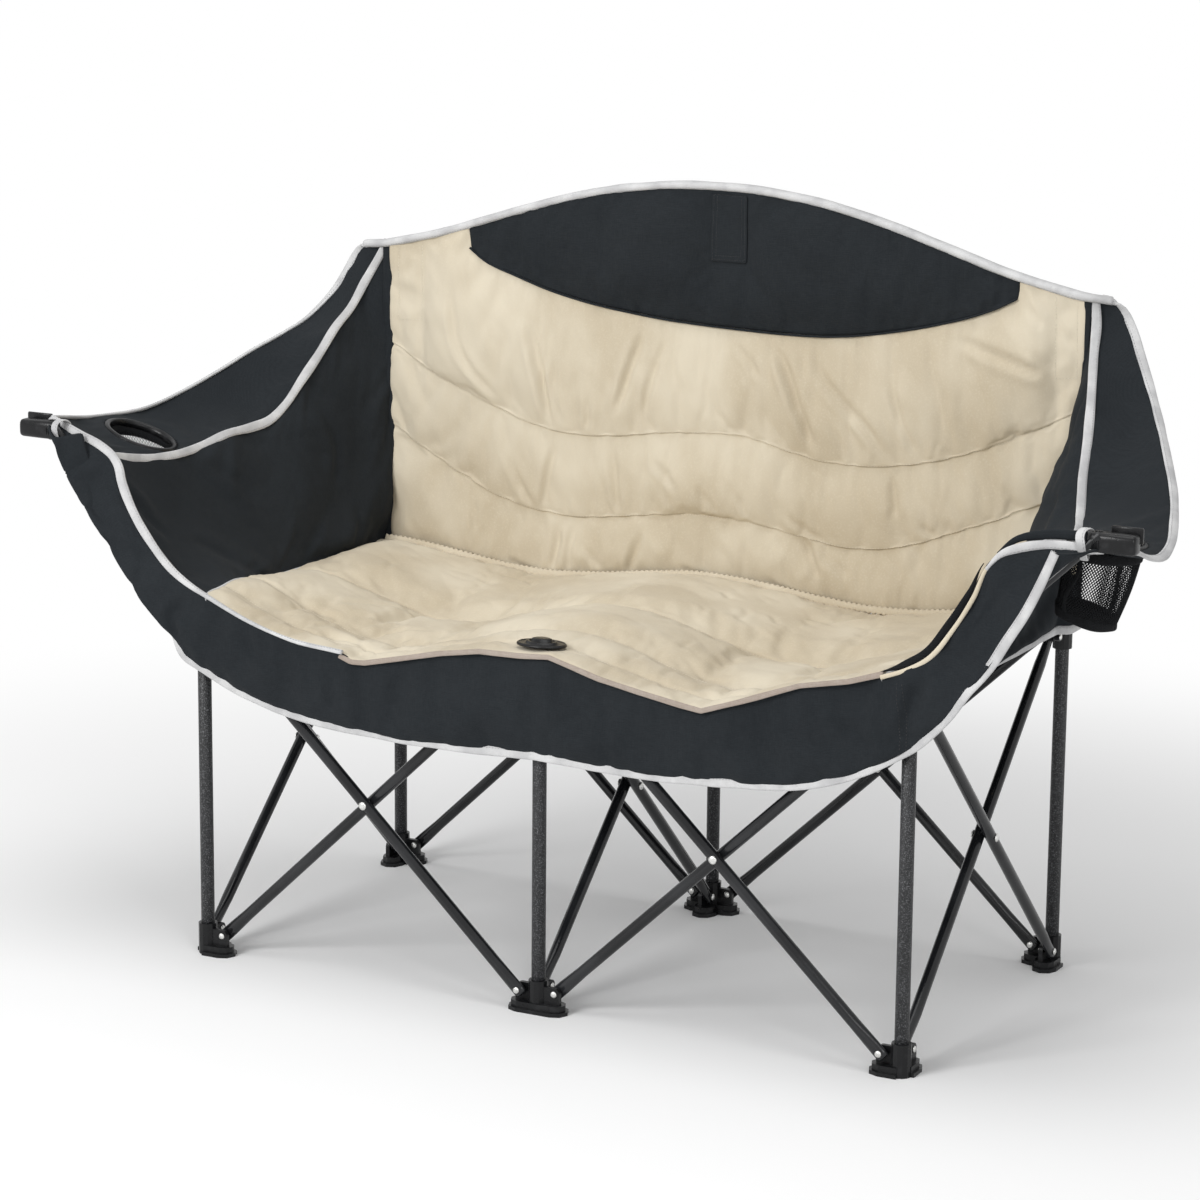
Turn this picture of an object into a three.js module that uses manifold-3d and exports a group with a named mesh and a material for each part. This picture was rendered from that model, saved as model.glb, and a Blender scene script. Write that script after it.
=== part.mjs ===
// Folding camping loveseat: six posts on a three by two grid, joined by seven crossing pairs
// of tubes, with a padded seat and back, fabric arms, two cup holders and a front band.
// X runs along the seat, the front faces -Y, Z is up and the feet stand on Z = 0. Lengths are in mm.
import * as THREE from 'three';
import { mergeVertices } from 'three/addons/utils/BufferGeometryUtils.js';
import Module from 'manifold-3d';

const wasm = await Module();
wasm.setup();

// Frame grid
const bay = 500;
const postInset = 25;
const footPivotHeight = 27;
const hubPivotHeight = 451;
const originShift = 9.4;

// Fits
const clearance = 0.3;
const pinPlay = 0.4;
const slideClearance = 0.6;
const overrun = 5;

// Posts
const postRadius = 9;
const postWall = 1.4;
const postFloor = 4;
const cornerPostTop = 886;
const centrePostTop = 986;
const frontPostDrop = 27;
const rodWall = 1.2;
const rodLength = 258.5;

// Crossing tubes
const tubeRadius = 7.5;
const tubeWall = 1.2;
const tubeOffset = 8;
const tubeOverhang = 8;
const armReach = 337;

// Rivets
const pinRadius = 2.5;
const headRadius = 4.5;
const headHeight = 2;
const crossHeadRadius = 5.5;
const crossHeadHeight = 2.4;

// Feet
const flangeRadius = 17;
const flangeHeight = 5;
const bossRadius = 13.5;
const bossHeight = 13;
const socketRadius = 12.6;
const socketHeight = 42;
const plateThickness = 6;
const footEar = 8;

// Hubs
const collarRadius = 12.9;
const hubEar = 6;
const collarBelow = 20;
const frontCollarTop = -2.5;
const rearCollarTop = 9;

// Arm end caps
const capLength = 59;
const capHeight = 30;
const capDepth = 26;
const capRise = 4;
const capChamfer = 9;
const sleeveRadius = 10.5;
const sleeveLength = 28;
const clipLength = 30;
const clipDepth = 12;
const clipHeight = 19;

// Seat pad
const seatOverHub = 29;
const seatThickness = 17.1;
const seatOverPosts = 14;
const seatFrontInset = 22;
const seatFrontReach = 33;
const seatRearInset = 16;
const seatSplit = -8;
const seatSplitGap = 0.7;
const seatSagFront = 42;
const seatSagMiddle = 46;
const seatSagRear = 19;
const seatCornerLift = 20;
const seatLipDepth = 20;
const seatEdgeDrop = 44.5;
const seatEdgeReach = 160;
const seatCrown = 12;
const seamDepth = 3;

// Back
const backPostInset = 12.5;
const backSeamThickness = 12;
const backCrown = 10;
const backOverCentre = 14;
const backOverCorner = 4;
const topPanelHalfWidth = 408;
const topPanelDrop = 192;
const topPanelEndHeight = 37;
const topPanelThickness = 8;
const topPanelCrown = 5;
const topPanelBow = 1.7;
const panelGap = 0.5;

// Front band
const bandReach = 19.5;
const bandLean = 12;
const bandThickness = 2.4;
const bandOverPosts = 200;
const bandDrop = 142;
const bandUnderSeat = 0.7;
const bandTipRise = 15;

// Arm panels
const armFrontInset = 24;
const armRearInset = 18;
const armSheet = 2.4;
const armSeatGap = 1.9;
const armUnderSeat = 11;
const armBehindBand = 3.5;
const armUnderPost = 2;
const armStripHeight = 181;
const armOutReach = 252;

// Cup holders
const cupReachShare = 0.651;
const cupLengthShare = 0.762;
const cupRingRadius = 52.5;
const cupHoleRadius = 42.5;
const cupRingHeight = 6;
const cupRingSeat = 3;
const cupRingPlay = 0.9;
const bagTopRadius = 46.5;
const bagBottomRadius = 36;
const bagDepth = 88;
const bagWall = 1.6;

// Seat button
const buttonRadius = 33;
const buttonSquash = 0.78;
const buttonRim = 3;
const buttonDome = 9;
const buttonInset = 37;

// Post pockets
const pocketWidth = 44;
const pocketWall = 1.6;
const cornerPocketLength = 103;
const centrePocketLength = 86;
const pocketRoof = 3;

// Faces round a circle
const roundSides = 12;
const arcSegments = 4;
const tubeSides = 10;
const innerSides = 8;
const pinSides = 6;
const boreSides = 8;
const headSides = 8;
const slabSides = 8;
const ringSides = 24;
const bagSides = 18;
const buttonSides = 20;

const plateFace = tubeOffset - tubeRadius - clearance;
const rise = hubPivotHeight - footPivotHeight;
const run = bay - 2 * postInset;
const tubeSpan = Math.hypot(run, rise);
const tubeAngle = Math.atan2(rise, run);
const rodRadius = postRadius - postWall - slideClearance;
const frontPostTop = hubPivotHeight - frontPostDrop;

// Where the cover lies on the frame
const seatTop = hubPivotHeight + seatOverHub;
const seatHalfWidth = bay + seatOverPosts;
const seatFrontHalfWidth = bay - seatFrontInset;
const seatFront = -bay / 2 - seatFrontReach;
const seatRear = bay / 2 - seatRearInset;
const backRearFace = bay / 2 - backPostInset;
const backTopCentre = centrePostTop + backOverCentre;
const backTopCorner = cornerPostTop + backOverCorner;
const armFront = -bay / 2 + armFrontInset;
const armRear = bay / 2 - armRearInset;
const armTopRear = cornerPostTop - armUnderPost;
const armStripZ = seatTop + armStripHeight;
const bandFace = -bay / 2 - bandReach;
const armJoin = bandFace + armBehindBand;
const bandHalfWidth = bay + bandOverPosts;
const bandBottom = seatTop - bandDrop;
const bandTipTop = armStripZ + bandTipRise;
const cupX = seatHalfWidth + armSeatGap + cupReachShare * armOutReach;
const cupY = armRear + cupLengthShare * (armFront - armRear);
const buttonY = seatFront + buttonInset;

const colours = {
  post: [0x424347, 0.55, 0.6],
  tube: [0x2b2c2f, 0.4, 0.7],
  plastic: [0x1d1e20, 0.5, 0],
  rivet: [0xc4c6c8, 0.3, 1],
  cream: [0xd2c4aa, 0.9, 0],
  black: [0x303338, 0.92, 0],
  mesh: [0x26282b, 0.95, 0],
};

const chair = new THREE.Group();
const corners = {
  FL: [-bay, -bay / 2],
  FC: [0, -bay / 2],
  FR: [bay, -bay / 2],
  BL: [-bay, bay / 2],
  BC: [0, bay / 2],
  BR: [bay, bay / 2],
};

// Each panel goes from its first post to its second. The first tube starts at the first foot,
// and the side of the post plane that it lies on is +1 or -1 along the panel's normal.
const panels = {
  back_left: ['BC', 'BL', -1],
  back_right: ['BC', 'BR', 1],
  centre: ['BC', 'FC', 1],
  front_left: ['FC', 'FL', -1],
  front_right: ['FC', 'FR', 1],
  side_left: ['BL', 'FL', 1],
  side_right: ['BR', 'FR', 1],
};

function solidOf(geometry) {
  const bare = geometry.clone();
  bare.deleteAttribute('normal');
  bare.deleteAttribute('uv');
  const merged = mergeVertices(bare);
  return new wasm.Manifold(new wasm.Mesh({
    numProp: 3,
    vertProperties: new Float32Array(merged.attributes.position.array),
    triVerts: new Uint32Array(merged.index.array),
  }));
}

function geometryOf(solid) {
  const mesh = solid.getMesh();
  const geometry = new THREE.BufferGeometry();
  geometry.setAttribute('position', new THREE.BufferAttribute(new Float32Array(mesh.vertProperties), 3));
  geometry.setIndex(new THREE.BufferAttribute(new Uint32Array(mesh.triVerts), 1));
  geometry.computeVertexNormals();
  return geometry;
}

function addPiece(name, look, shape, parent = chair) {
  const [color, roughness, metalness] = colours[look];
  const material = new THREE.MeshStandardMaterial({ color, roughness, metalness });
  const geometry = shape.isBufferGeometry ? shape : geometryOf(shape);
  const piece = new THREE.Mesh(geometry, material);
  piece.name = name;
  parent.add(piece);
  return piece;
}

// A round bar between two points
function bar(from, to, radius, sides = roundSides) {
  const start = new THREE.Vector3(...from);
  const along = new THREE.Vector3(...to).sub(start);
  const geometry = new THREE.CylinderGeometry(radius, radius, along.length(), sides);
  const upright = new THREE.Vector3(0, 1, 0);
  const turn = new THREE.Quaternion().setFromUnitVectors(upright, along.clone().normalize());
  geometry.applyQuaternion(turn);
  geometry.translate(...start.addScaledVector(along, 0.5).toArray());
  return solidOf(geometry);
}

function block(low, high) {
  const size = high.map((value, axis) => value - low[axis]);
  const geometry = new THREE.BoxGeometry(...size);
  geometry.translate(...low.map((value, axis) => value + size[axis] / 2));
  return solidOf(geometry);
}

function pipe(bottom, top, outer, inner, sides = roundSides) {
  return bar([0, 0, bottom], [0, 0, top], outer, sides)
    .subtract(bar([0, 0, bottom - overrun], [0, 0, top + overrun], inner, sides));
}

// A flat plate that stands on edge: its outline is drawn along a direction and up, and it fills
// the stretch from low to high along the normal
function standingPlate(outline, direction, normal, low, high) {
  const depth = high - low;
  const settings = { depth, bevelEnabled: false, curveSegments: arcSegments };
  const geometry = new THREE.ExtrudeGeometry(outline, settings);
  const third = new THREE.Vector3().crossVectors(direction, up);
  geometry.translate(0, 0, third.dot(normal) > 0 ? low : -high);
  geometry.applyMatrix4(new THREE.Matrix4().makeBasis(direction, up, third));
  return solidOf(geometry);
}

function panelFrame(first, second) {
  const [x0, y0] = corners[first];
  const [x1, y1] = corners[second];
  const direction = new THREE.Vector3(x1 - x0, y1 - y0, 0).normalize();
  const normal = new THREE.Vector3(Math.abs(direction.y), Math.abs(direction.x), 0);
  return { direction, normal };
}

// The tubes that are pinned at a post: which way each runs and on which side of the post plane
function armsOf(post, atFoot) {
  const arms = [];
  for (const [first, second, side] of Object.values(panels)) {
    if (post !== first && post !== second) {
      continue;
    }
    const { direction, normal } = panelFrame(first, second);
    const startsHere = post === first;
    arms.push({
      direction: direction.multiplyScalar(startsHere ? 1 : -1),
      normal,
      side: startsHere === atFoot ? side : -side,
    });
  }
  return arms;
}

function plateOutline(pivotZ, ear, bottom) {
  const outline = new THREE.Shape();
  outline.moveTo(0, bottom);
  if (bottom < pivotZ - ear) {
    outline.lineTo(postInset + ear, bottom);
    outline.lineTo(postInset + ear, pivotZ);
    outline.absarc(postInset, pivotZ, ear, 0, Math.PI / 2);
  } else {
    outline.lineTo(postInset, bottom);
    outline.absarc(postInset, pivotZ, ear, -Math.PI / 2, Math.PI / 2);
  }
  outline.lineTo(0, pivotZ + ear);
  const hole = new THREE.Path();
  hole.absarc(postInset, pivotZ, pinRadius + pinPlay, 0, 2 * Math.PI);
  outline.holes.push(hole);
  return outline;
}

function earPlate(arm, pivotZ, ear, bottom) {
  const faces = [arm.side * plateFace, arm.side * (plateFace - plateThickness)];
  const outline = plateOutline(pivotZ, ear, bottom);
  return standingPlate(outline, arm.direction, arm.normal, Math.min(...faces), Math.max(...faces));
}

function slabTo(arm, radius, bottom, top) {
  const end = arm.direction.clone().multiplyScalar(postInset);
  const across = arm.normal.clone().multiplyScalar(radius);
  const low = [Math.min(0, end.x) - across.x, Math.min(0, end.y) - across.y, bottom];
  const high = [Math.max(0, end.x) + across.x, Math.max(0, end.y) + across.y, top];
  return block(low, high).add(bar([end.x, end.y, bottom], [end.x, end.y, top], radius, slabSides));
}

function makeFoot(post) {
  let foot = bar([0, 0, 0], [0, 0, socketHeight], socketRadius);
  const arms = armsOf(post, true);
  for (const arm of arms) {
    foot = foot.add(slabTo(arm, flangeRadius, 0, flangeHeight));
    foot = foot.add(slabTo(arm, bossRadius, 0, bossHeight));
  }
  const bore = bar([0, 0, postFloor], [0, 0, socketHeight + overrun], postRadius + clearance);
  for (const arm of arms) {
    foot = foot.add(earPlate(arm, footPivotHeight, footEar, flangeHeight));
  }
  const [x, y] = corners[post];
  addPiece(`foot_${post}`, 'plastic', foot.subtract(bore)).position.set(x, y, 0);
}

function makeHub(post, boreRadius, top) {
  const bottom = hubPivotHeight - collarBelow;
  let hub = bar([0, 0, bottom], [0, 0, hubPivotHeight + top], collarRadius);
  for (const arm of armsOf(post, false)) {
    hub = hub.add(earPlate(arm, hubPivotHeight, hubEar, hubPivotHeight - hubEar));
  }
  const bore = bar([0, 0, bottom - overrun], [0, 0, hubPivotHeight + hubEar + overrun], boreRadius);
  const tall = bar([0, 0, hubPivotHeight], [0, 0, hubPivotHeight + rearCollarTop + overrun], boreRadius);
  const [x, y] = corners[post];
  addPiece(`hub_${post}`, 'plastic', hub.subtract(bore).subtract(tall)).position.set(x, y, 0);
}

// A crossing tube, drawn along X from its foot pivot, with its pins pointing to the post plane
function makeTube(name, length, side, parent) {
  const end = length + tubeOverhang;
  const inner = tubeRadius - tubeWall;
  let tube = bar([-tubeOverhang, 0, 0], [end, 0, 0], tubeRadius, tubeSides);
  tube = tube.subtract(bar([-tubeOverhang - overrun, 0, 0], [end + overrun, 0, 0], inner, innerSides));
  const middle = tubeSpan / 2;
  const bore = pinRadius + pinPlay;
  const across = tubeRadius + overrun;
  tube = tube.subtract(bar([middle, -across, 0], [middle, across, 0], bore, boreSides));
  const root = side * (tubeRadius - tubeWall / 2);
  const outer = side * (tubeRadius + headHeight);
  const farFace = -side * (tubeRadius + clearance + plateThickness + clearance);
  const farEnd = farFace - side * headHeight;
  for (const at of [0, tubeSpan]) {
    tube = tube.add(bar([at, -root, 0], [at, farEnd, 0], pinRadius, pinSides));
    tube = tube.add(bar([at, farFace, 0], [at, farEnd, 0], headRadius, headSides));
    tube = tube.add(bar([at, root, 0], [at, outer, 0], headRadius, headSides));
  }
  return addPiece(name, 'tube', tube, parent);
}

function makePanel(name, [first, second, side]) {
  const { direction, normal } = panelFrame(first, second);
  const [x, y] = corners[first];
  const frame = new THREE.Group();
  frame.position.set(x, y, 0);
  chair.add(frame);
  const turned = Math.atan2(direction.y, direction.x);
  frame.rotation.z = turned;
  // the panel's normal is the group's +Y or its -Y
  const left = new THREE.Vector3(-direction.y, direction.x, 0);
  const sense = side * Math.sign(left.dot(normal));
  const isArm = name.startsWith('front');
  const tubes = [
    [`tube_${first}_${second}`, postInset, tubeAngle, sense, isArm ? tubeSpan + armReach : tubeSpan],
    [`tube_${second}_${first}`, bay - postInset, Math.PI - tubeAngle, -sense, tubeSpan],
  ];
  for (const [tubeName, start, angle, tubeSide, length] of tubes) {
    const tube = makeTube(tubeName, length, tubeSide, frame);
    tube.position.set(start, tubeSide * tubeOffset, footPivotHeight);
    tube.rotation.y = -angle;
  }
  const seat = tubeOffset + tubeRadius + clearance;
  const tip = seat + crossHeadHeight;
  let rivet = bar([0, -tip, 0], [0, tip, 0], pinRadius, pinSides);
  rivet = rivet.add(bar([0, seat, 0], [0, tip, 0], crossHeadRadius, headSides));
  rivet = rivet.add(bar([0, -tip, 0], [0, -seat, 0], crossHeadRadius, headSides));
  const piece = addPiece(`rivet_${name}`, 'rivet', rivet, frame);
  piece.position.set(bay / 2, 0, (footPivotHeight + hubPivotHeight) / 2);
}

function makePosts() {
  for (const [post, [x, y]] of Object.entries(corners)) {
    makeFoot(post);
    const bottom = postFloor + clearance;
    const inner = postRadius - postWall;
    if (post.startsWith('B')) {
      const top = post === 'BC' ? centrePostTop : cornerPostTop;
      makeHub(post, postRadius + slideClearance, rearCollarTop);
      addPiece(`post_${post}`, 'post', pipe(bottom, top, postRadius, inner)).position.set(x, y, 0);
      makePocket(post, top);
    } else {
      makeHub(post, rodRadius + clearance, frontCollarTop);
      addPiece(`post_${post}`, 'post', pipe(bottom, frontPostTop, postRadius, inner)).position.set(x, y, 0);
      const rodTop = hubPivotHeight + frontCollarTop;
      const rod = pipe(rodTop - rodLength, rodTop, rodRadius, rodRadius - rodWall);
      addPiece(`rod_${post}`, 'post', rod).position.set(x, y, 0);
    }
  }
}

// The sewn pocket that holds a rear post's top
function makePocket(post, postTop) {
  const bottom = postTop - (post === 'BC' ? centrePocketLength : cornerPocketLength);
  const top = postTop + clearance + pocketRoof;
  const outer = postRadius + slideClearance + pocketWall;
  const wing = new THREE.Shape();
  wing.moveTo(-pocketWidth / 2, -pocketWall / 2);
  wing.lineTo(pocketWidth / 2, -pocketWall / 2);
  wing.lineTo(pocketWidth / 2, pocketWall / 2);
  wing.lineTo(-pocketWidth / 2, pocketWall / 2);
  const flat = new THREE.ExtrudeGeometry(wing, { depth: top - bottom, bevelEnabled: false });
  flat.translate(0, 0, bottom);
  const bore = bar([0, 0, bottom - overrun], [0, 0, postTop + clearance], postRadius + clearance);
  const pocket = bar([0, 0, bottom], [0, 0, top], outer).add(solidOf(flat)).subtract(bore);
  const [x, y] = corners[post];
  addPiece(`pocket_${post}`, 'black', pocket).position.set(x, y, 0);
}

// A closed sheet round a grid of points. The function gives how far its two faces lie from the
// point in that row and column, the first along the given direction, or else the grid's normal.
function slab(grid, faces, direction) {
  const rows = grid.length;
  const columns = grid[0].length;
  const at = (i, j) => grid[Math.min(Math.max(i, 0), rows - 1)][Math.min(Math.max(j, 0), columns - 1)];
  const positions = [];
  for (const face of [0, 1]) {
    for (let i = 0; i < rows; i += 1) {
      for (let j = 0; j < columns; j += 1) {
        const alongRow = at(i, j + 1).clone().sub(at(i, j - 1));
        const alongColumn = at(i + 1, j).clone().sub(at(i - 1, j));
        const way = direction ?? alongRow.cross(alongColumn).normalize();
        const height = faces(i, j)[face] * (face === 0 ? 1 : -1);
        positions.push(...at(i, j).clone().addScaledVector(way, height).toArray());
      }
    }
  }
  const count = rows * columns;
  const index = [];
  const quad = (a, b, c, d) => index.push(a, b, c, a, c, d);
  for (let i = 0; i < rows - 1; i += 1) {
    for (let j = 0; j < columns - 1; j += 1) {
      const a = i * columns + j;
      quad(a, a + 1, a + columns + 1, a + columns);
      quad(count + a, count + a + columns, count + a + columns + 1, count + a + 1);
    }
  }
  const rim = [];
  for (let j = 0; j < columns - 1; j += 1) {
    rim.push(j);
  }
  for (let i = 0; i < rows - 1; i += 1) {
    rim.push(i * columns + columns - 1);
  }
  for (let j = columns - 1; j > 0; j -= 1) {
    rim.push((rows - 1) * columns + j);
  }
  for (let i = rows - 1; i > 0; i -= 1) {
    rim.push(i * columns);
  }
  rim.forEach((from, k) => {
    const to = rim[(k + 1) % rim.length];
    quad(from, count + from, count + to, to);
  });
  return closedGeometry(positions, index);
}

// Turns the faces outward, whichever way the grid was drawn
function closedGeometry(positions, index) {
  const corner = (k) => new THREE.Vector3().fromArray(positions, 3 * index[k]);
  let volume = 0;
  for (let k = 0; k < index.length; k += 3) {
    volume += corner(k).dot(corner(k + 1).cross(corner(k + 2)));
  }
  if (volume < 0) {
    index.reverse();
  }
  const geometry = new THREE.BufferGeometry();
  geometry.setAttribute('position', new THREE.BufferAttribute(new Float32Array(positions), 3));
  geometry.setIndex(index);
  geometry.computeVertexNormals();
  return geometry;
}

const up = new THREE.Vector3(0, 0, 1);
const ahead = new THREE.Vector3(0, -1, 0);
const smooth = (low, high, value) => THREE.MathUtils.smoothstep(value, low, high);
const mix = THREE.MathUtils.lerp;

// A hand-drawn curve through pairs of shares, read by its first value
function curveThrough(pairs) {
  return (share) => {
    let k = 0;
    while (k < pairs.length - 2 && share > pairs[k + 1][0]) {
      k += 1;
    }
    const [a, b] = [pairs[k], pairs[k + 1]];
    return mix(a[1], b[1], (share - a[0]) / (b[0] - a[0]));
  };
}

// Shares of the seat's depth, from its front edge, and of its half width at the front
const seatMiddleShare = 0.5;
const liftFadeShares = [0.15, 0.5];
const seatFlareShare = 0.5;
const cornerShare = 0.8;
const stepBackShare = 0.9;

// The front edge hangs in a shallow V on each side of the button: shares of the half width at the
// front, with shares of the edge's drop
const seatEdgeShares = [
  [0, 0], [0.09, 0], [0.15, 0.2], [0.21, 0.4], [0.32, 0.63], [0.44, 0.85], [0.51, 1], [0.57, 0.79],
  [0.61, 0.65], [0.73, 0.36], [0.85, 0.02], [0.91, -0.18], [1, -0.5],
];

const seatDepthShare = (y) => (y - seatFront) / (seatRear - seatFront);
const seatEdgeHeight = (x) => (
  seatTop - seatEdgeDrop * curveThrough(seatEdgeShares)(Math.abs(x) / seatFrontHalfWidth)
);

// The seat hangs between the post rows, so each of its two places sags
function seatHeight(x, y) {
  const across = Math.sin((Math.PI * Math.abs(x)) / bay) ** 2;
  const depthShare = seatDepthShare(y);
  const sag = depthShare < seatMiddleShare
    ? mix(seatSagFront, seatSagMiddle, depthShare / seatMiddleShare)
    : mix(seatSagMiddle, seatSagRear, (depthShare - seatMiddleShare) / (1 - seatMiddleShare));
  const nearCorner = smooth(cornerShare, 1, Math.abs(x) / seatFrontHalfWidth);
  const lift = seatCornerLift * nearCorner * (1 - smooth(...liftFadeShares, depthShare));
  const hung = seatTop - sag * across + lift;
  return mix(seatEdgeHeight(x), hung, smooth(0, seatEdgeReach, y - seatFront));
}

// The seat is narrower at its front corners
function seatHalf(y) {
  return mix(seatFrontHalfWidth, seatHalfWidth, smooth(0, seatFlareShare, seatDepthShare(y)));
}

// The front edge steps back behind the band at the corners
function seatFrontEdge(x) {
  return seatFront + seatLipDepth * smooth(cornerShare, stepBackShare, Math.abs(x) / seatFrontHalfWidth);
}

// Each pad's rows: a share of its depth, with the fullness of the stuffing there as a share of
// the crown. The sewn lines are the rows with none.
const seatRowShares = {
  front: [
    [0, 0], [0.09, 0.55], [0.18, 0], [0.31, 0.8], [0.434, 0], [0.56, 0.75], [0.72, 1], [0.88, 0.7], [1, 0],
  ],
  rear: [[0, 0], [0.15, 0.75], [0.45, 1], [0.78, 0.6], [0.93, 0], [1, 0]],
};
const padEdgeShare = 0.04;
const padEdgeThicknessShare = 0.6;
const crownFadeShare = 0.09;
const buttonClearShares = [2, 3];
const seatColumns = 26;

function makeSeat() {
  const parts = {
    front: [seatFront, seatSplit - seatSplitGap / 2],
    rear: [seatSplit + seatSplitGap / 2, seatRear],
  };
  for (const [name, [start, end]] of Object.entries(parts)) {
    const rows = seatRowShares[name];
    const grid = rows.map(([share]) => {
      const half = seatHalf(mix(start, end, share));
      return Array.from({ length: seatColumns + 1 }, (_, j) => {
        const x = mix(-half, half, j / seatColumns);
        const y = mix(name === 'front' ? seatFrontEdge(x) : start, end, share);
        return new THREE.Vector3(x, y, seatHeight(x, y));
      });
    });
    addPiece(`seat_pad_${name}`, 'cream', slab(grid, (i, j) => {
      const point = grid[i][j];
      const edge = Math.min(j, seatColumns - j) / seatColumns;
      const fromButton = Math.hypot(point.x, point.y - buttonY) / buttonRadius;
      const besideButton = smooth(...buttonClearShares, fromButton);
      const fullness = seatCrown * rows[i][1] * smooth(0, crownFadeShare, edge);
      const outerRow = point.y === end ? name === 'rear' : i === 0 && name === 'front';
      const above = outerRow ? 0 : besideButton * (fullness - seamDepth);
      return [above, seatThickness * mix(padEdgeThicknessShare, 1, smooth(0, padEdgeShare, edge))];
    }, up));
  }
}

// The top edge falls from the middle post to the corner posts: shares of the half width, with
// shares of the fall
const backTopShares = [
  [0, 0], [0.12, 0.01], [0.21, 0.06], [0.32, 0.14], [0.46, 0.29], [0.6, 0.49], [0.72, 0.65], [0.8, 0.76],
  [0.9, 0.86], [1, 1],
];

function backTop(x) {
  return mix(backTopCentre, backTopCorner, curveThrough(backTopShares)(Math.abs(x) / seatHalfWidth));
}

// The lower edge of the dark top panel, a shallow arc
function topPanelEdge(x) {
  const share = Math.abs(x) / topPanelHalfWidth;
  const end = backTop(topPanelHalfWidth) - topPanelEndHeight;
  return mix(backTopCentre - topPanelDrop, end, share ** topPanelBow);
}

// The two sewn lines across the back: shares of its half width, with shares of the height from
// the seat to the corner
const lowerSeamShares = [[0, 0.19], [0.2, 0.165], [0.39, 0.138], [0.58, 0.173], [0.82, 0.288], [1, 0.427]];
const upperSeamShares = [
  [0, 0.473], [0.1, 0.468], [0.29, 0.42], [0.39, 0.413], [0.58, 0.449], [0.82, 0.561], [1, 0.707],
];

// Rows of one channel between two sewn lines, each with its fullness: the stuffing sinks, so a
// channel is fullest low down
const channelRowShares = [[0, 0], [0.16, 0.8], [0.42, 1], [0.76, 0.55]];
// Columns are shares of the top panel's half width
const backColumnShares = [0, 0.08, 0.18, 0.3, 0.45, 0.6, 0.76, 0.88, 0.97];
const topPanelRowShares = [[0, 0], [0.33, 1], [0.67, 0.8], [1, 0]];
const fadeColumns = 2;

function makeBack() {
  const step = panelGap / 2;
  const inside = backColumnShares.map((share) => share * topPanelHalfWidth);
  const between = (topPanelHalfWidth + seatHalfWidth) / 2;
  const outside = [topPanelHalfWidth - step, topPanelHalfWidth + step, between, seatHalfWidth];
  const half = [...inside, ...outside];
  const xs = [...half.slice(1).reverse().map((x) => -x), ...half];
  const seamAt = (shares, x) => (
    mix(seatTop, backTopCorner, curveThrough(shares)(Math.abs(x) / seatHalfWidth))
  );
  const seams = [
    (x) => seatHeight(Math.min(Math.abs(x), bay), seatRear) + panelGap,
    (x) => seamAt(lowerSeamShares, x),
    (x) => seamAt(upperSeamShares, x),
    (x) => (Math.abs(x) < topPanelHalfWidth ? topPanelEdge(x) - panelGap : backTop(x)),
  ];
  const rows = [0, 1, 2].flatMap((channel) => channelRowShares.map(([share, fullness]) => (
    { low: seams[channel], high: seams[channel + 1], share, fullness }
  )));
  rows.push({ low: seams[3], high: seams[3], share: 0, fullness: 0 });
  const grid = rows.map(({ low, high, share }) => xs.map((x) => (
    new THREE.Vector3(x, backRearFace, mix(low(x), high(x), share))
  )));
  addPiece('back_pad', 'cream', slab(grid, (i, j) => {
    const edge = Math.min(j, xs.length - 1 - j);
    return [backSeamThickness + backCrown * rows[i].fullness * smooth(0, fadeColumns, edge), 0];
  }, ahead));
  const panelHalf = [...inside, topPanelHalfWidth - panelGap];
  const panelXs = [...panelHalf.slice(1).reverse().map((x) => -x), ...panelHalf];
  const panelGrid = topPanelRowShares.map(([share]) => panelXs.map((x) => (
    new THREE.Vector3(x, backRearFace, mix(topPanelEdge(x), backTop(x), share))
  )));
  addPiece('back_top_panel', 'black', slab(panelGrid, (i, j) => {
    const edge = Math.min(j, panelXs.length - 1 - j);
    const fullness = topPanelRowShares[i][1] * smooth(0, fadeColumns, edge);
    return [topPanelThickness + topPanelCrown * fullness, 0];
  }, ahead));
}

// Shares of the band's half width, with shares of its rise from its lowest to its highest edge
const bandLowerShares = [
  [0, 0], [0.36, 0.005], [0.5, 0.035], [0.6, 0.09], [0.67, 0.165], [0.72, 0.235], [0.78, 0.35],
  [0.83, 0.48], [0.88, 0.61], [0.925, 0.77], [0.955, 0.88], [1, 0.97],
];
const bandUpperShares = [
  [0.61, 0.45], [0.66, 0.47], [0.7, 0.5], [0.76, 0.56], [0.81, 0.68], [0.85, 0.82], [0.9, 0.94], [1, 1],
];
const bandRowShares = [0, 0.5, 1];
const bandSideShares = [0.61, 0.64, 0.67, 0.7, 0.74, 0.78, 0.82, 0.86, 0.91, 0.955, 1];
const bandLeanShare = 0.2;
const bandTipShare = 0.85;

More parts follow.
